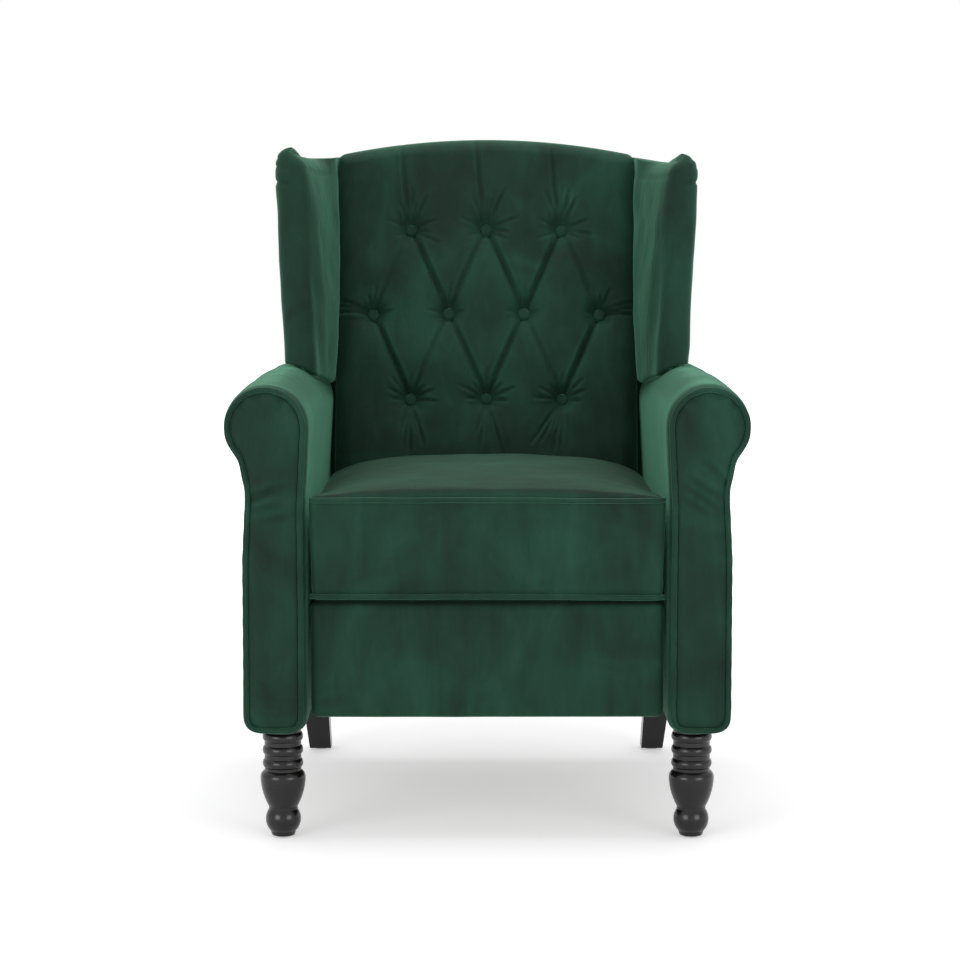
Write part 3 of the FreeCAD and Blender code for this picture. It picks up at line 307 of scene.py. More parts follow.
def fold(spots, start, end, depth, width, lip=0.35, taper=0.5):
    """Depth of one fold between two places, with a small lip along one side."""
    start, end = np.asarray(start, float), np.asarray(end, float)
    way = end - start
    length = np.linalg.norm(way)
    way /= length
    share = (spots - start) @ way / length
    aside = (spots - start) @ np.array([-way[1], way[0]])
    ends = np.clip(share, 0, 1)
    fade = np.clip(np.sin(math.pi * ends), 0, 1) ** taper * ((share > 0) & (share < 1))
    groove = np.exp(-(aside / width) ** 2)
    ridge = np.exp(-((aside - 2.0 * width) / (1.2 * width)) ** 2)
    return depth * fade * (groove - lip * ridge)


# materials

def node_of(tree, kind):
    return next(node for node in tree.nodes if node.type == kind)


def new_material(name):
    material = bpy.data.materials.new(name)
    material.use_nodes = True
    tree = material.node_tree
    return material, tree, node_of(tree, "BSDF_PRINCIPLED")


def set_sockets(node, **values):
    """Sets input sockets by name, with _ for each space."""
    for socket, value in values.items():
        node.inputs[socket.replace("_", " ")].default_value = value


def feed(tree, socket, value):
    """Links an output to a socket, or gives the socket a colour or a number."""
    if isinstance(value, bpy.types.NodeSocket):
        tree.links.new(value, socket)
    else:
        socket.default_value = (*value, 1) if isinstance(value, tuple) else value


def object_place(tree):
    return tree.nodes.new("ShaderNodeTexCoord").outputs["Object"]


def noise_texture(tree, place, scale, stretch=(1, 1, 1), **sockets):
    mapping = tree.nodes.new("ShaderNodeMapping")
    mapping.inputs["Scale"].default_value = stretch
    tree.links.new(place, mapping.inputs["Vector"])
    node = tree.nodes.new("ShaderNodeTexNoise")
    set_sockets(node, Scale=scale, **sockets)
    tree.links.new(mapping.outputs["Vector"], node.inputs["Vector"])
    return node.outputs["Fac"]


def ramp(tree, factor, stops):
    node = tree.nodes.new("ShaderNodeValToRGB")
    elements = node.color_ramp.elements
    while len(elements) < len(stops):
        elements.new(0.5)
    for element, (position, colour) in zip(elements, stops):
        element.position = position
        element.color = (*colour, 1)
    tree.links.new(factor, node.inputs["Fac"])
    return node.outputs["Color"]


def blend_colours(tree, kind, factor, first, second):
    node = tree.nodes.new("ShaderNodeMix")
    node.data_type = "RGBA"
    node.blend_type = kind
    for socket, value in (("Factor", factor), ("A", first), ("B", second)):
        feed(tree, node.inputs[socket], value)
    return node.outputs["Result"]


def calculate(tree, operation, *values):
    """Output of a Math node, whose inputs are numbers or outputs of other nodes."""
    node = tree.nodes.new("ShaderNodeMath")
    node.operation = operation
    for socket, value in zip(node.inputs, values):
        feed(tree, socket, value)
    return node.outputs["Value"]


def map_range(tree, value, **limits):
    node = tree.nodes.new("ShaderNodeMapRange")
    set_sockets(node, **limits)
    tree.links.new(value, node.inputs["Value"])
    return node.outputs["Result"]


def add_bump(tree, shader, height, distance, strength=1.0, before=None):
    node = tree.nodes.new("ShaderNodeBump")
    node.inputs["Distance"].default_value = distance
    node.inputs["Strength"].default_value = strength
    tree.links.new(height, node.inputs["Height"])
    if before is not None:
        tree.links.new(before, node.inputs["Normal"])
    tree.links.new(node.outputs["Normal"], shader.inputs["Normal"])
    return node.outputs["Normal"]


def velvet(name, deep, middle, light, crush=1.0, top_shade=1.0):
    """Crushed velvet: the nap lies in patches and brushed streaks, and catches light at a slant.
    Painted shade: top_shade darkens the colour and sheen of faces that look up, and pointiness
    darkens creases."""
    material, tree, shader = new_material(name)
    place = object_place(tree)
    patches = noise_texture(tree, place, 7.0, Detail=3.0, Roughness=0.55, Distortion=0.8)
    streaks = noise_texture(tree, place, 26.0, (1, 1, 0.22), Detail=4.0, Roughness=0.6,
                            Distortion=0.5)
    pile = noise_texture(tree, place, 900.0, (1, 1, 0.6), Detail=2.0)
    crushed = noise_texture(tree, place, 60.0, (1, 1, 0.5), Detail=3.0, Distortion=1.2)
    nap = calculate(tree, "MULTIPLY_ADD", patches, 0.62,
                    calculate(tree, "MULTIPLY", streaks, 0.38))
    colour = ramp(tree, nap, [(0.36, deep), (0.50, middle), (0.66, light)])
    grain = ramp(tree, pile, [(0.3, (0.82, 0.82, 0.82)), (0.7, (1.0, 1.0, 1.0))])
    colour = blend_colours(tree, "MULTIPLY", 1.0, colour, grain)
    geometry = tree.nodes.new("ShaderNodeNewGeometry")
    # Painted shade: pointiness darkens the colour in creases and hollows, and lightens convex edges
    # as rubbed wear.
    worn = ramp(tree, geometry.outputs["Pointiness"],
                [(0.44, (0.7, 0.7, 0.7)), (0.5, (1.0, 1.0, 1.0)), (0.57, (1.35, 1.4, 1.38))])
    colour = blend_colours(tree, "MULTIPLY", 1.0, colour, worn)
    sheen = 0.50
    set_sockets(shader, Roughness=0.80, Specular_IOR_Level=0.25, Sheen_Weight=sheen,
                Sheen_Roughness=0.36, Sheen_Tint=(0.26, 0.74, 0.47, 1))
    if top_shade < 1:
        # Painted shade: faces that look up get a darker colour and a weaker sheen.
        facing = tree.nodes.new("ShaderNodeSeparateXYZ")
        tree.links.new(geometry.outputs["Normal"], facing.inputs["Vector"])
        shade = ramp(tree, facing.outputs["Z"], [(0.35, (1.0, 1.0, 1.0)), (0.85, (top_shade,) * 3)])
        colour = blend_colours(tree, "MULTIPLY", 1.0, colour, shade)
        tree.links.new(calculate(tree, "MULTIPLY", shade, sheen), shader.inputs["Sheen Weight"])
    tree.links.new(colour, shader.inputs["Base Color"])
    normal = add_bump(tree, shader, crushed, 0.0012 * crush, 0.6)
    normal = add_bump(tree, shader, streaks, 0.0010 * crush, 0.5, normal)
    add_bump(tree, shader, pile, 0.0002, 0.5, normal)
    return material


def lacquer(name):
    """Black satin lacquer over turned wood: faint grain, and a gloss that dust makes uneven."""
    material, tree, shader = new_material(name)
    place = object_place(tree)
    grain = noise_texture(tree, place, 90.0, (1, 1, 0.12), Detail=5.0)
    dust = noise_texture(tree, place, 30.0, Detail=3.0)
    colour = ramp(tree, grain, [(0.3, (0.0016, 0.0016, 0.0018)), (0.75, (0.0042, 0.0040, 0.0042))])
    tree.links.new(colour, shader.inputs["Base Color"])
    tree.links.new(map_range(tree, dust, To_Min=0.20, To_Max=0.32), shader.inputs["Roughness"])
    set_sockets(shader, Specular_IOR_Level=0.35, Coat_Weight=0.12, Coat_Roughness=0.2)
    add_bump(tree, shader, grain, 0.0002, 0.4)
    return material


def bare_wood(name):
    """Planed hardwood for the hidden frames."""
    material, tree, shader = new_material(name)
    place = object_place(tree)
    rings = noise_texture(tree, place, 35.0, (1, 0.15, 1), Detail=4.0, Distortion=1.5)
    pores = noise_texture(tree, place, 400.0, (1, 0.05, 1), Detail=2.0)
    colour = ramp(tree, rings, [(0.3, (0.30, 0.17, 0.08)), (0.55, (0.44, 0.28, 0.14)),
                                (0.8, (0.55, 0.38, 0.21))])
    tree.links.new(colour, shader.inputs["Base Color"])
    set_sockets(shader, Roughness=0.62)
    add_bump(tree, shader, pores, 0.0003, 0.5)
    return material


def metal(name, colour, worn, roughness, metallic):
    """Enamelled, plated or bare steel, with small scratches and rubbed edges."""
    material, tree, shader = new_material(name)
    place = object_place(tree)
    marks = noise_texture(tree, place, 220.0, (1, 0.08, 1), Detail=4.0)
    cloud = noise_texture(tree, place, 28.0, Detail=3.0)
    pointiness = tree.nodes.new("ShaderNodeNewGeometry").outputs["Pointiness"]
    edges = ramp(tree, pointiness, [(0.52, (0.0, 0.0, 0.0)), (0.62, (1.0, 1.0, 1.0))])
    tree.links.new(blend_colours(tree, "MIX", edges, colour, worn), shader.inputs["Base Color"])
    rough = map_range(tree, cloud, To_Min=roughness - 0.08, To_Max=roughness + 0.12)
    tree.links.new(rough, shader.inputs["Roughness"])
    set_sockets(shader, Metallic=metallic)
    add_bump(tree, shader, marks, 0.0001, 0.4)
    return material


def moulded(name, colour):
    """Moulded nylon, faintly mottled."""
    material, tree, shader = new_material(name)
    cloud = noise_texture(tree, object_place(tree), 120.0, Detail=3.0)
    dark = tuple(0.85 * value for value in colour)
    tree.links.new(ramp(tree, cloud, [(0.3, dark), (0.7, colour)]), shader.inputs["Base Color"])
    set_sockets(shader, Roughness=0.45)
    add_bump(tree, shader, cloud, 0.0001, 0.3)
    return material


VELVET = velvet("velvet", (0.0020, 0.0150, 0.0085), (0.0042, 0.0290, 0.0165),
                (0.0085, 0.0500, 0.0300))
# A lighter copy of the velvet for the seat and footrest: painted light on their fronts, with painted
# shade on their tops.
PAINTED_LIGHT_SEAT_VELVET = velvet("seat_velvet_painted_light", (0.0022, 0.0165, 0.0095), (0.0050, 0.0340, 0.0195),
                     (0.0100, 0.0580, 0.0350), top_shade=0.40)
PIPING = velvet("velvet_piping", (0.0020, 0.0150, 0.0085), (0.0040, 0.0275, 0.0155),
                (0.0075, 0.0440, 0.0260), crush=0.4)
NODE_MATERIALS = {
    "black_wood": lacquer("black_lacquer"),
    "frame_wood": bare_wood("frame_wood"),
    "black_steel": metal("black_enamel", (0.012, 0.012, 0.013), (0.10, 0.10, 0.10), 0.4, 0.0),
    "zinc_steel": metal("zinc_plate", (0.52, 0.53, 0.55), (0.68, 0.68, 0.70), 0.34, 1.0),
    "spring_steel": metal("spring_wire", (0.16, 0.155, 0.15), (0.38, 0.37, 0.36), 0.42, 1.0),
    "nylon": moulded("white_nylon", (0.72, 0.71, 0.66)),
}


def dress_cad_nodes():
    """The carried-over CAD nodes get the finish of their slot."""
    for part in frame["record"]["subparts"]:
        finish = NODE_MATERIALS.get(part["material_slot"])
        if finish is None:
            continue
        node = frame["nodes"][part["node"]]
        for slot in node.material_slots:
            slot.material = finish
        if not node.material_slots:
            node.data.materials.append(finish)


# arms

def arm_outline(inset):
    """Section of an arm seen from the front, from the inner foot up and round, drawn in by inset."""
    inner, outer = ARM_INNER + inset, ARM_OUTER - inset
    low = arm_low.z + inset
    corner = ARM_CORNER
    inner_bend, inner_waist, inner_lean = 0.340, 0.468, 0.001
    outer_bend, outer_waist, outer_lean = 0.400, 0.495, 0.005
    points = [(inner, low + corner), (inner, inner_bend), (inner + inner_lean, inner_waist)]
    points += arc((ROLL_X, ROLL_Z), ROLL_RADIUS - inset, 180, -50, 60)
    points += [(outer - outer_lean, outer_waist), (outer, outer_bend), (outer, low + corner)]
    points += arc((outer - corner, low + corner), corner, 0, -90, 10)
    points += arc((inner + corner, low + corner), corner, -90, -180, 10)
    return soften(even_steps(points, 260), passes=5)


def arm_cover(side):
    """The padded skin of one arm, swelling out behind its facing and rounded at the rear."""
    front_edge, swell, front_draw, rear_edge = 0.007, 0.026, 0.011, 0.014
    rear = arm_high.y - FRONT
    stations = [(front_edge + swell * (1 - math.cos(a)), front_draw * (1 - math.sin(a)))
                for a in np.radians(np.linspace(0, 90, 9))]
    middle = np.linspace(front_edge + swell, rear - rear_edge, 84)[1:-1]
    stations += [(depth, 0.0) for depth in middle]
    stations += [(rear - rear_edge + rear_edge * math.sin(a), ARM_REAR_DRAW * (1 - math.cos(a)))
                 for a in np.radians(np.linspace(0, 90, 8))]
    rings = []
    for depth, inset in stations:
        ring = arm_outline(inset)
        normal = outward(ring)
        flat = standing(ring, side, depth)
        soft = unevenness(flat, (0.0018, 0.11, 3 + side), (0.0010, 0.045, 5 + side))
        free = smooth_step(ring[:, 0], 0.262, 0.300)
        loose = smooth_step(ring[:, 1], 0.50, 0.56) * smooth_step(depth, 0.02, 0.06)
        swelling = 0.0035 * loose * math.sin(math.pi * min(depth / rear, 1)) * free
        pulled = bump(ring[:, 1], 0.497, 0.02) * free * 0.0022 * wander(flat * [1, 3, 1], 0.05, 9)
        ring = ring + normal * ((soft - 0.0012) * (0.3 + 0.7 * free) + swelling + pulled)[:, None]
        rings.append(standing(ring, side, FRONT + depth))
    return np.vstack(rings), grid_faces(len(rings), len(rings[0]), wrap=True)


# Creases at the neck of each arm's facing: start and end, across from the roll's axis and up.
ARM_CREASES = {
    1: (((-0.034, 0.520), (0.022, 0.482)), ((-0.040, 0.506), (0.016, 0.470)),
        ((-0.014, 0.545), (0.030, 0.502)), ((-0.044, 0.492), (0.004, 0.462))),
    -1: (((-0.012, 0.500), (0.030, 0.478)), ((-0.040, 0.508), (0.030, 0.488)),
         ((-0.030, 0.482), (0.026, 0.468)), ((-0.042, 0.462), (0.010, 0.455))),
}


def arm_facing(side):
    """The domed panel on the front of an arm, gathered round the roll and creased at its neck."""
    rows, cols = 150, 56
    outline = arm_outline(PIPING_INSET + 0.001)
    spots = scan_grid(outline, rows, cols)
    distance, along = nearest_on(spots, outline)
    dome = 0.55 * rolled(distance, 0.018)
    angle = np.degrees(np.arctan2(spots[:, 1] - ROLL_Z, (spots[:, 0] - ROLL_X) * side))
    gathered = smooth_step(angle, 15, 50) * (1 - smooth_step(angle, 130, 165))
    ripple = np.sin(along / 0.0042 + 2.2 * np.sin(along / 0.031)) * bump(distance, 0.005, 0.009)
    dome = dome + 0.0015 * gathered * ripple
    from_roll = np.column_stack([spots[:, 0] - ROLL_X, spots[:, 1]])
    for start, end in ARM_CREASES[side]:
        dome = dome - fold(from_roll, start, end, 0.0034, 0.0046, lip=0.6, taper=1.0)
    uneven = unevenness(standing(spots, side), (0.0012, 0.05, 21 + side), (0.0008, 0.12, 23 + side))
    dome = dome + smooth_step(distance, 0.004, 0.020) * uneven
    return standing(spots, side, FRONT + 0.006 - dome), grid_faces(rows, cols)


def arm_rear(side):
    """The panel that closes the rear end of an arm."""
    rows, cols = 80, 26
    outline = arm_outline(ARM_REAR_DRAW)
    spots = scan_grid(outline, rows, cols)
    distance, _ = nearest_on(spots, outline)
    uneven = 0.0012 * wander(standing(spots, side), 0.08, 31)
    dome = 0.35 * rolled(distance, 0.010) + uneven * smooth_step(distance, 0, 0.02)
    return standing(spots, side, arm_high.y + dome), grid_faces(rows, cols)


def build_arms():
    for label, side in SIDES:
        points, faces = joined([arm_cover(side), arm_rear(side)])
        piece(label + "_arm_upholstery", points, faces, VELVET, "base",
              [label + "_arm_cover"])
        points, faces = arm_facing(side)
        piece(label + "_arm_front_panel", points, faces, VELVET, "base",
              [label + "_arm_facing"])
        ring = arm_outline(PIPING_INSET)
        wave = 0.0002 * np.sin(np.arange(len(ring)) * 0.9)
        points, faces = tube(standing(ring, side, FRONT - 0.0005), PIPING_RADIUS + wave)
        piece(label + "_arm_cord", points, faces, PIPING, "base",
              [label + "_arm_piping"])


# seat and footrest

def seat_cushion():
    low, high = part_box("seat_cushion")
    seam, rear = 0.486, FRONT + 0.500
    crown_height, side_fall = 0.030, 0.020
    points, faces = rounded_block((low.x + 0.002, low.y, low.z - 0.0015),
                                  (high.x - 0.002, rear, seam), 0.007, PAD_STEP)
    x, y, z = points.T
    across = np.abs(x) / high.x
    length = (y - low.y) / (rear - low.y)
    level = (z - low.z) / (seam - low.z)
    top = smooth_step(level, 0.55, 1.0)
    crown = crown_height * (1 - across ** 3)
    crown = crown * np.sin(math.pi * np.clip(0.06 + 0.90 * length, 0, 1)) ** 0.55
    sides = -side_fall * across ** 8 * smooth_step(length, 0.02, 0.35)
    z = z + top * (crown + sides)
    y = y + length * math.tan(BACK_TILT) * (z - low.z)
    front = smooth_step(length, 0.12, 0.0)
    y = y - front * 0.006 * np.sin(math.pi * np.clip(level, 0, 1)) * (1 - across ** 6)
    x = x * (1 - 0.020 * front * (1 - np.clip(level, 0, 1)))
    flat = np.column_stack([x, y, z])
    soft = unevenness(flat, (0.0016, 0.09, 41), (0.0009, 0.04, 42))
    points = np.column_stack([x, y - front * 0.8 * soft, z + top * soft])
    piece("seat_cushion_cover", points, faces, PAINTED_LIGHT_SEAT_VELVET, "seat",
          ["seat_cushion"])


def seat_piping():
    """The cords along the top and bottom of the cushion's front, tucked back at their ends."""
    low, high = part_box("seat_piping")
    half, tucked, count = 0.246, 0.236, 160
    x = np.linspace(-half, half, count)
    lines = []
    for height, seed in ((high.z - 0.003, 1), (low.z + 0.003, 2)):
        path = np.column_stack([x, np.full(count, FRONT + 0.0025), np.full(count, height)])
        path[:, 2] += unevenness(path, (0.0016, 0.16, 50 + seed), (0.0006, 0.04, 60 + seed))
        path[:, 1] += 0.006 * smooth_step(np.abs(x), tucked, half)
        lines.append(tube(path, PIPING_RADIUS, closed=False))
    points, faces = joined(lines)
    piece("seat_cushion_cord", points, faces, PIPING, "seat", ["seat_piping"])


def footrest_pad():
    low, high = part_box("footrest_pad")
    points, faces = rounded_block(low, (high.x, high.y, high.z + 0.0015), 0.011, PAD_STEP)
    x, y, z = points.T
    across = x / high.x
    level = (z - low.z) / (high.z - low.z)
    front = smooth_step(y, high.y, low.y + 0.012)
    flat = np.column_stack([x, y, z])
    soft = unevenness(flat, (0.0018, 0.10, 71), (0.0010, 0.045, 72))
    belly = 0.004 * np.sin(math.pi * level) * (1 - across ** 6)
    y = y - front * (belly + 0.9 * soft)
    z = z + 0.0016 * wander(flat, 0.13, 73) * (level < 0.5) * (1 - across ** 4)
    piece("footrest_cover", np.column_stack([x, y, z]), faces, PAINTED_LIGHT_SEAT_VELVET, "footrest",
          ["footrest_pad"])


# back

def back_point(across, behind, up):
    """Row frame place of a point given in the frame of the sloped back."""
    lean, rise = math.sin(BACK_TILT), math.cos(BACK_TILT)
    return np.column_stack([across, FRONT + BACK_DEPTH + behind * rise + up * lean,
                            BACK_LINE - behind * lean + up * rise])


def pad_face_depth(height):
    return BACK_DEPTH + (height - BACK_LINE) * math.tan(BACK_TILT)


def panel_face_depth(height):
    return PANEL_DEPTH + (height - PANEL_FOOT) * math.tan(PANEL_TILT)


def panel_point(across, behind, up):
    """Row frame place of a point of the outer back: up is the real height."""
    return np.column_stack([across, FRONT + panel_face_depth(up) + behind, up])


def tuft_rows():
    """The buttons' places, across and up the slope, from the lowest row up."""
    rows = ((-1, 0, 1), (-1.5, -0.5, 0.5, 1.5), (-1, 0, 1))
    return [[(share * TUFT_ACROSS, TUFT_FIRST + number * TUFT_UP) for share in row]
            for number, row in enumerate(rows)]


def pleats(middle_row, top_row):
    """The diagonal pleats down from the two upper rows: start, end and strength."""
    strengths = ((0.25, 1), (0.5, 1), (1, 0.45), (0, 1), (0.35, 0.7), (0.8, 0.35), (1, 0))
    return [((x, up), (x + way * TUFT_ACROSS / 2, up - TUFT_UP), strength)
            for (x, up), pair in zip(top_row + middle_row, strengths)
            for way, strength in zip((-1, 1), pair) if strength]


def tuft_depth(spots):
    """How far the face is pulled in by the buttons, their pleats and gathers."""
    rows = tuft_rows()
    middle_row, top_row = rows[1:]
    depth = np.zeros(len(spots))
    for row in rows:
        for x, up in row:
            reach = np.hypot(spots[:, 0] - x, spots[:, 1] - up)
            pit = 0.017 * np.exp(-(reach / 0.016) ** 2) + 0.009 * np.exp(-(reach / 0.040) ** 1.3)
            depth = np.maximum(depth, pit)
    for start, end, strength in pleats(middle_row, top_row):
        depth += fold(spots, start, end, 0.0078 * strength, 0.0036, lip=0, taper=0.3)
        depth += fold(spots, start, end, 0.0030 * strength, 0.0110, lip=0, taper=0.35)
        shift = 0.009 if end[0] > start[0] else -0.009
        depth -= fold(spots, (start[0] + shift, start[1]), (end[0] + shift, end[1]),
                      0.0028 * strength, 0.0040, lip=0, taper=0.8)
    edge = BACK_HALF + 0.004
    for (x, up), drop in ((middle_row[0], 0.012), (middle_row[-1], 0.002)):
        side = math.copysign(1, x)
        for number, rise in enumerate((0, 0.011, 0.022)):
            start = (x + side * 0.006, up + 0.003 * number)
            end = (side * edge, up + drop * 0.5 + rise)
            depth += fold(spots, start, end, 0.0055 - 0.0014 * number, 0.0032, lip=0.3, taper=0.35)
    return depth + gathers(spots, rows)


def gathers(spots, rows):
    """Short creases that run out from the buttons."""
    low_row, middle_row, top_row = rows
    depth = np.zeros(len(spots))

    def fan(x, up, directions, length, strength):
        total = np.zeros(len(spots))
        for number, angle in enumerate(directions):
            way = np.array([math.cos(math.radians(angle)), math.sin(math.radians(angle))])
            reach = length * (0.75 + 0.25 * math.cos(2.1 * number + x * 40))
            start = np.array([x, up]) + way * 0.012
            total += fold(spots, start, start + way * reach, 1.5 * strength, 0.0026, lip=0.5,
                          taper=0.6)
        return total

    for x, up in top_row:
        depth += fan(x, up, (64, 78, 88, 97, 112), 0.062, 0.0020)
        depth += fan(x, up, (158, 205), 0.036, 0.0010)
        depth += fan(x, up, (18, -12, -30), 0.044, 0.0013)
        depth += fold(spots, (x - 0.006, up + 0.012), (x - 0.016, BACK_HIGH - 0.004), 0.0040,
                      0.0030, lip=0.5, taper=0.25)
    for x, up in middle_row:
        depth += fan(x, up, (66, 84, 102), 0.040, 0.0015)
        depth += fan(x, up, (8, 172), 0.026, 0.0010)
    for x, up in low_row:
        depth += fan(x, up, (20, 44, 66, 88, 108, 130, 155, 180, -8), 0.038, 0.0016)
        lean = 18 if x > 0.05 else 0
        downwards = tuple(angle - lean for angle in (-74, -82, -90, -98, -106))
        depth += fan(x, up, downwards, 0.090, 0.0020)
    return depth


def back_rim():
    """Stations across and up the back, closer together where the edges round off."""
    turn = np.radians(np.linspace(0, 90, 8))
    step, length = 0.0021, 0.68
    edge, crest = 0.020, 0.026
    rounding = BACK_HALF - edge + edge * np.sin(turn)
    half = np.concatenate([np.arange(0, BACK_HALF - edge, step), rounding])
    across = np.concatenate([-half[:0:-1], half])
    up = np.concatenate([np.arange(0, 1 - crest / length, step / length),
                         1 - crest / length * (1 - np.sin(turn))])
    return across, up, edge, crest


def back_pad():
    """The tufted face of the back with its sides and top, which run back to the frame."""
    across, up_share, edge, crest = back_rim()
    wall = [0.25, 0.5, 0.75, 1.0]
    side_reach, top_reach, deepest = 0.030, 0.066, 0.096
    columns = [(-BACK_HALF, w) for w in reversed(wall)] + [(x, 0) for x in across]
    columns += [(BACK_HALF, w) for w in wall]
    levels = [(share, 0) for share in up_share] + [(1.0, w) for w in wall]
    x = np.array([column[0] for _ in levels for column in columns])
    share = np.array([level[0] for level in levels for _ in columns])
    side_wall = np.array([column[1] for _ in levels for column in columns])
    top_wall = np.array([level[1] for level in levels for _ in columns])
    corner = 0.013
    near = np.clip((np.abs(x) - (BACK_HALF - corner)) / corner, 0, 1)
    top = BACK_HIGH - BACK_ARCH * (x / BACK_HALF) ** 2 - corner * (1 - np.sqrt(1 - near ** 2))
    up = BACK_LOW + share * (top - BACK_LOW)
    spots = np.column_stack([x, up])
    to_side = BACK_HALF - np.abs(x)
    to_top = top - up
    face = np.maximum(edge - rolled(to_side, edge), crest - rolled(to_top, crest))
    flat = smooth_step(to_side, 0.004, 0.030) * smooth_step(to_top, 0.0, 0.030)
    creased = smooth_step(to_side, 0.0, 0.012) * (0.25 + 0.75 * smooth_step(to_top, 0.0, 0.03))
    pulled = tuft_depth(spots)
    three = np.column_stack([x, np.zeros(len(x)), up])
    soft = unevenness(three, (0.0022, 0.10, 81), (0.0010, 0.045, 82))
    seat_dip = 0.004 * bump(up, 0.02, 0.06)
    pillow = 0.004 * flat
    behind = BACK_CROWN * (x / BACK_HALF) ** 2 + face + pulled * creased - soft * flat - pillow
    behind = behind - seat_dip * flat
    behind = behind + np.maximum(side_wall * side_reach, top_wall * top_reach)
    behind = np.minimum(behind, deepest)
    up = up + top_wall * 0.012
    x = x - np.sign(x) * 0.002 * (side_wall > 0)
    piece("back_upholstery", back_point(x, behind, up), grid_faces(len(levels), len(columns)),
          VELVET, "backrest", ["back_pad"])


def button(radius, height):
    """A cloth-covered button as rings from its middle out, down and under."""
    rings = [(0.12, 1.0), (0.45, 0.95), (0.72, 0.80), (0.90, 0.55), (1.0, 0.22), (0.98, -0.1),
             (0.86, -0.35)]
    points = []
    sides = 28
    for share, rise in rings:
        for number in range(sides):
            angle = 2 * math.pi * number / sides
            crimp = 1 + 0.02 * math.cos(9 * angle) * (share > 0.8)
            points.append((radius * share * crimp * math.cos(angle), -height * rise,
                           radius * share * crimp * math.sin(angle)))
    faces = grid_faces(len(rings), sides, wrap=True) + [tuple(range(sides))]
    return np.array(points), faces


def tufting_buttons():
    shape, faces = button(BUTTON_RADIUS, BUTTON_HEIGHT)
    buttons = []
    for row in tuft_rows():
        for x, up in row:
            depth = BACK_CROWN * (x / BACK_HALF) ** 2 + BUTTON_DEPTH
            buttons.append((back_point(x + shape[:, 0], depth + shape[:, 1], up + shape[:, 2]),
                            faces))
    points, faces = joined(buttons)
    piece("covered_buttons", points, faces, VELVET, "backrest", ["tufting_buttons"])


def outer_back():
    """The cover of the outer back, narrow between the arms, and the cord round its edge."""
    low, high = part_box("outer_back_panel")
    wide, middle, narrow = high.x, 0.261, 0.247
    crest, corner, cut = high.z, 0.957, 0.012
    thickness = 0.0045
    top = [(x, crest - (crest - corner) * (x / wide) ** 2)
           for x in np.linspace(wide - cut, -wide + cut, 60)]
    edge = [(narrow, low.z), (narrow, 0.426), (middle, 0.438), (middle, 0.642),
            (middle + 0.010, 0.654), (wide - 0.01, 0.662), (wide, 0.674), (wide, corner - cut)]
    outline = edge + top + [(-x, z) for x, z in reversed(edge)]
    outline = soften(even_steps(outline, 520), passes=3)
    rows, cols = 150, 110
    spots = scan_grid(outline, rows, cols)
    distance, _ = nearest_on(spots, outline)
    dome = 0.5 * rolled(distance, 0.014)
    dome += smooth_step(distance, 0.0, 0.06) * (0.003 + 0.0016 * wander(standing(spots), 0.14, 91))
    faces = grid_faces(rows, cols)
    outer = panel_point(spots[:, 0], thickness + dome, spots[:, 1])
    inner = panel_point(spots[:, 0], 0, spots[:, 1])
    points, faces = joined([(outer, faces), (inner, faces)])
    piece("outer_back_cover", points, faces, VELVET, "backrest", ["outer_back_panel"])
    ring = panel_point(outline[:, 0], thickness, outline[:, 1])
    normal_of_panel = (0, math.cos(PANEL_TILT), -math.sin(PANEL_TILT))
    points, faces = tube(ring, PIPING_RADIUS, steady=normal_of_panel)
    piece("outer_back_cord", points, faces, PIPING, "backrest")


# wings

def wing_section(height):
    """Plan of the right wing at one height, as across and depth, from its inner rear round."""
    share = np.clip((height - WING_LOW) / (WING_HIGH - WING_LOW), 0, 1.1)
    front_low, sweep, outer_low, flare = 0.412, 0.064, 0.312, 0.018
    front = front_low + sweep * share
    outer = outer_low + flare * share
    thickness, nose_depth = 0.050, 0.026
    rear = panel_face_depth(height)
    meet = pad_face_depth(height) + 0.006
    inner = outer - thickness
    nose = arc(((inner + outer) / 2, front + nose_depth), thickness / 2, 180, 360, 24)
    points = [(WING_INNER, rear), (WING_INNER, meet)] + nose + [(WING_OUTER_REAR, rear)]
    return soften(even_steps(points, 170), passes=6)


def over_roll(across):
    """Height just above the roll of an arm, which the underside of a wing follows."""
    reach = ROLL_RADIUS + 0.004
    rise = np.sqrt(np.clip(reach ** 2 - (across - ROLL_X) ** 2, 0, None))
    return np.maximum(ROLL_Z + rise, WING_LOW)


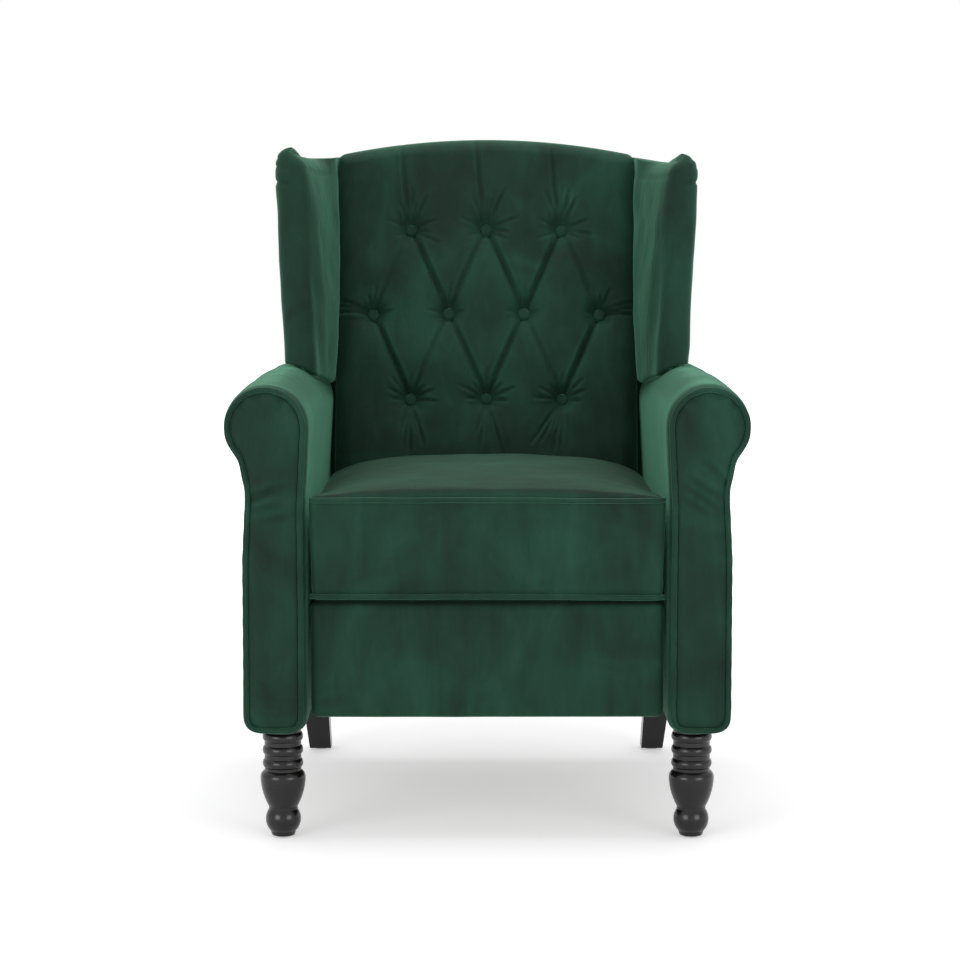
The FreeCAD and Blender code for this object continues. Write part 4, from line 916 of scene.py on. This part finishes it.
def wing(side):
    """One wing with its swelling sides and pleated front corner; the right one is a little lower."""
    edge = 0.026
    turns = np.radians(np.linspace(0, 90, 10))[1:]
    levels = [(0.0, 0.0, 0.014), (0.0, 0.0, 0.006), (0.004, 0.0, 0.001)]
    levels += [(share, 0.0, 0.0) for share in np.linspace(0.012, 1, 80)]
    levels += [(1.0, edge * math.sin(a), edge * (1 - math.cos(a))) for a in turns]
    lower = 0.010 if side > 0 else 0.0
    lower = 0.010 if side > 0 else 0.0
    rings = []
    for share, rise, inset in levels:
        ring = wing_section(WING_LOW + share * (WING_SHOULDER - WING_LOW))
        normal = outward(ring)
        depth = ring[:, 1]
        inner_face = smooth_step(-normal[:, 0], 0.3, 0.9) * smooth_step(depth, 0.46, 0.52)
        outer_face = smooth_step(normal[:, 0], 0.3, 0.9) * smooth_step(depth, 0.47, 0.56)
        rear_share = smooth_step(depth, 0.5, 0.78)
        front_top = 0.966 + 0.018 * np.clip((ring[:, 0] - 0.250) / 0.07, 0, 1) - lower
        rear_top = 0.993 - 0.030 * (ring[:, 0] / WING_OUTER_REAR) ** 2
        top = front_top * (1 - rear_share) + rear_top * rear_share
        base = over_roll(ring[:, 0])
        z = base + share * (top - edge - base) + rise
        flat = np.column_stack([ring[:, 0] * side, depth, z])
        soft = unevenness(flat, (0.0020, 0.10, 101 + side), (0.0010, 0.045, 103 + side))
        belly = math.sin(math.pi * min(share, 1)) ** 0.5
        swell = (0.007 * inner_face + 0.006 * outer_face) * belly + soft * min(1, 12 * share)
        nose = smooth_step(normal[:, 0], -0.2, 0.5) * smooth_step(depth, 0.56, 0.50)
        pleat = sum(bump(z, level + 0.10 * (ring[:, 0] - 0.33), 0.0032) * size
                    for level, size in ((0.966, 0.0022), (0.954, 0.0018), (0.930, 0.0030)))
        swell = swell - pleat * nose
        beside_back = bump(ring[:, 0], WING_INNER, 0.012) * smooth_step(depth, 0.60, 0.66)
        ring = ring + normal * (swell - inset * (1 - beside_back))[:, None]
        rings.append(np.column_stack([ring[:, 0] * side, FRONT + ring[:, 1], z]))
    cols = len(rings[0])
    faces = grid_faces(len(rings), cols, wrap=True)
    faces.append(tuple(range(cols)))
    faces.append(tuple(range((len(rings) - 1) * cols, len(rings) * cols)))
    return np.vstack(rings), faces


def build_wings():
    for label, side in SIDES:
        points, faces = wing(side)
        piece(label + "_wing_cover", points, faces, VELVET, "backrest",
              [label + "_wing_pad"])


# plain padded pieces

def padded_copy(node_name, name, body, voxel):
    """A small padded solid with its edges rounded by remeshing and smoothing."""
    mesh = frame["nodes"][node_name].data.copy()
    thing = bpy.data.objects.new(name + "_blank", mesh)
    bpy.context.scene.collection.objects.link(thing)
    remesh = thing.modifiers.new("remesh", "REMESH")
    remesh.mode = "VOXEL"
    remesh.voxel_size = voxel
    smooth = thing.modifiers.new("smooth", "SMOOTH")
    smooth.iterations = 6
    smooth.factor = 0.5
    bpy.context.view_layer.update()
    evaluated = thing.evaluated_get(bpy.context.evaluated_depsgraph_get())
    made = bpy.data.meshes.new_from_object(evaluated)
    bpy.data.objects.remove(thing)
    finish_piece(name, made, VELVET, body, [node_name])


def plain_pads():
    padded_copy("rear_rail", "rear_rail_cover", "base", 0.004)
    for label in ("left", "right"):
        padded_copy(label + "_back_side_pad", label + "_back_side_cover", "backrest", 0.0025)


# stage

def rays_that_see_white(tree):
    """1 for rays that look at the background, straight or in a reflection, 0 for those that light."""
    path = tree.nodes.new("ShaderNodeLightPath")
    seen = calculate(tree, "MAXIMUM", path.outputs["Is Camera Ray"], path.outputs["Is Glossy Ray"])
    return calculate(tree, "MAXIMUM", seen, path.outputs["Is Transmission Ray"])


def build_world():
    world = bpy.data.worlds.new("studio")
    world.use_nodes = True
    tree = world.node_tree
    background = node_of(tree, "BACKGROUND")
    set_sockets(background, Color=WHITE, Strength=0.55)
    white = tree.nodes.new("ShaderNodeBackground")
    set_sockets(white, Color=WHITE, Strength=1.0)
    mix = tree.nodes.new("ShaderNodeMixShader")
    tree.links.new(rays_that_see_white(tree), mix.inputs["Fac"])
    tree.links.new(background.outputs["Background"], mix.inputs[1])
    tree.links.new(white.outputs["Background"], mix.inputs[2])
    tree.links.new(mix.outputs["Shader"], node_of(tree, "OUTPUT_WORLD").inputs["Surface"])
    bpy.context.scene.world = world


def build_floor():
    """A pale floor that fades to the white of the background away from the chair."""
    material, tree, shader = new_material("pale_floor")
    set_sockets(shader, Base_Color=(0.80, 0.80, 0.80, 1), Roughness=0.9, Specular_IOR_Level=0.0)
    away = tree.nodes.new("ShaderNodeVectorMath")
    away.operation = "LENGTH"
    tree.links.new(object_place(tree), away.inputs[0])
    fade = map_range(tree, away.outputs["Value"], From_Min=0.7, From_Max=2.2, To_Min=0.45,
                     To_Max=1.0)
    glow = tree.nodes.new("ShaderNodeEmission")
    set_sockets(glow, Color=WHITE)
    seen = calculate(tree, "MULTIPLY", rays_that_see_white(tree), fade)
    tree.links.new(seen, glow.inputs["Strength"])
    add = tree.nodes.new("ShaderNodeAddShader")
    tree.links.new(shader.outputs["BSDF"], add.inputs[0])
    tree.links.new(glow.outputs["Emission"], add.inputs[1])
    tree.links.new(add.outputs["Shader"], node_of(tree, "OUTPUT_MATERIAL").inputs["Surface"])
    bpy.ops.mesh.primitive_plane_add(size=24, location=(0, 0, 0))
    floor = bpy.context.object
    floor.name = "floor"
    floor.data.materials.append(material)


def area_light(name, place, target, size, watts):
    data = bpy.data.lights.new(name, "AREA")
    data.shape = "RECTANGLE"
    data.size, data.size_y = size
    data.energy = watts
    light = bpy.data.objects.new(name, data)
    light.location = place
    light.rotation_euler = (Vector(target) - Vector(place)).to_track_quat("-Z", "Y").to_euler()
    bpy.context.scene.collection.objects.link(light)


def build_lights():
    front_target, front_size = (0, 0, 0.5), (1.8, 1.4)
    area_light("overhead", (0.0, 0.3, 3.2), (0, 0.1, 0.5), (2.6, 2.6), 46)
    area_light("left_front", (-2.2, -3.0, 0.9), front_target, front_size, 40)
    area_light("right_front", (2.2, -3.0, 0.9), front_target, front_size, 34)


# Fitted to places of the chair in the photograph.
CAMERA_PLACE = (-0.0102, -3.909, 0.8589)
CAMERA_PITCH = 5.638
FOCAL_PIXELS = 2553.6
IMAGE_PIXELS = 960


def build_camera():
    data = bpy.data.cameras.new("camera")
    data.sensor_width = 36
    data.lens = FOCAL_PIXELS / IMAGE_PIXELS * data.sensor_width
    camera = bpy.data.objects.new("camera", data)
    camera.location = CAMERA_PLACE
    camera.rotation_euler = (math.radians(90 - CAMERA_PITCH), 0, 0)
    bpy.context.scene.collection.objects.link(camera)
    bpy.context.scene.camera = camera


dress_cad_nodes()
build_arms()
seat_cushion()
seat_piping()
footrest_pad()
back_pad()
tufting_buttons()
outer_back()
build_wings()
plain_pads()
build_world()
build_floor()
build_lights()
build_camera()
bpy.context.scene.view_settings.view_transform = "Standard"
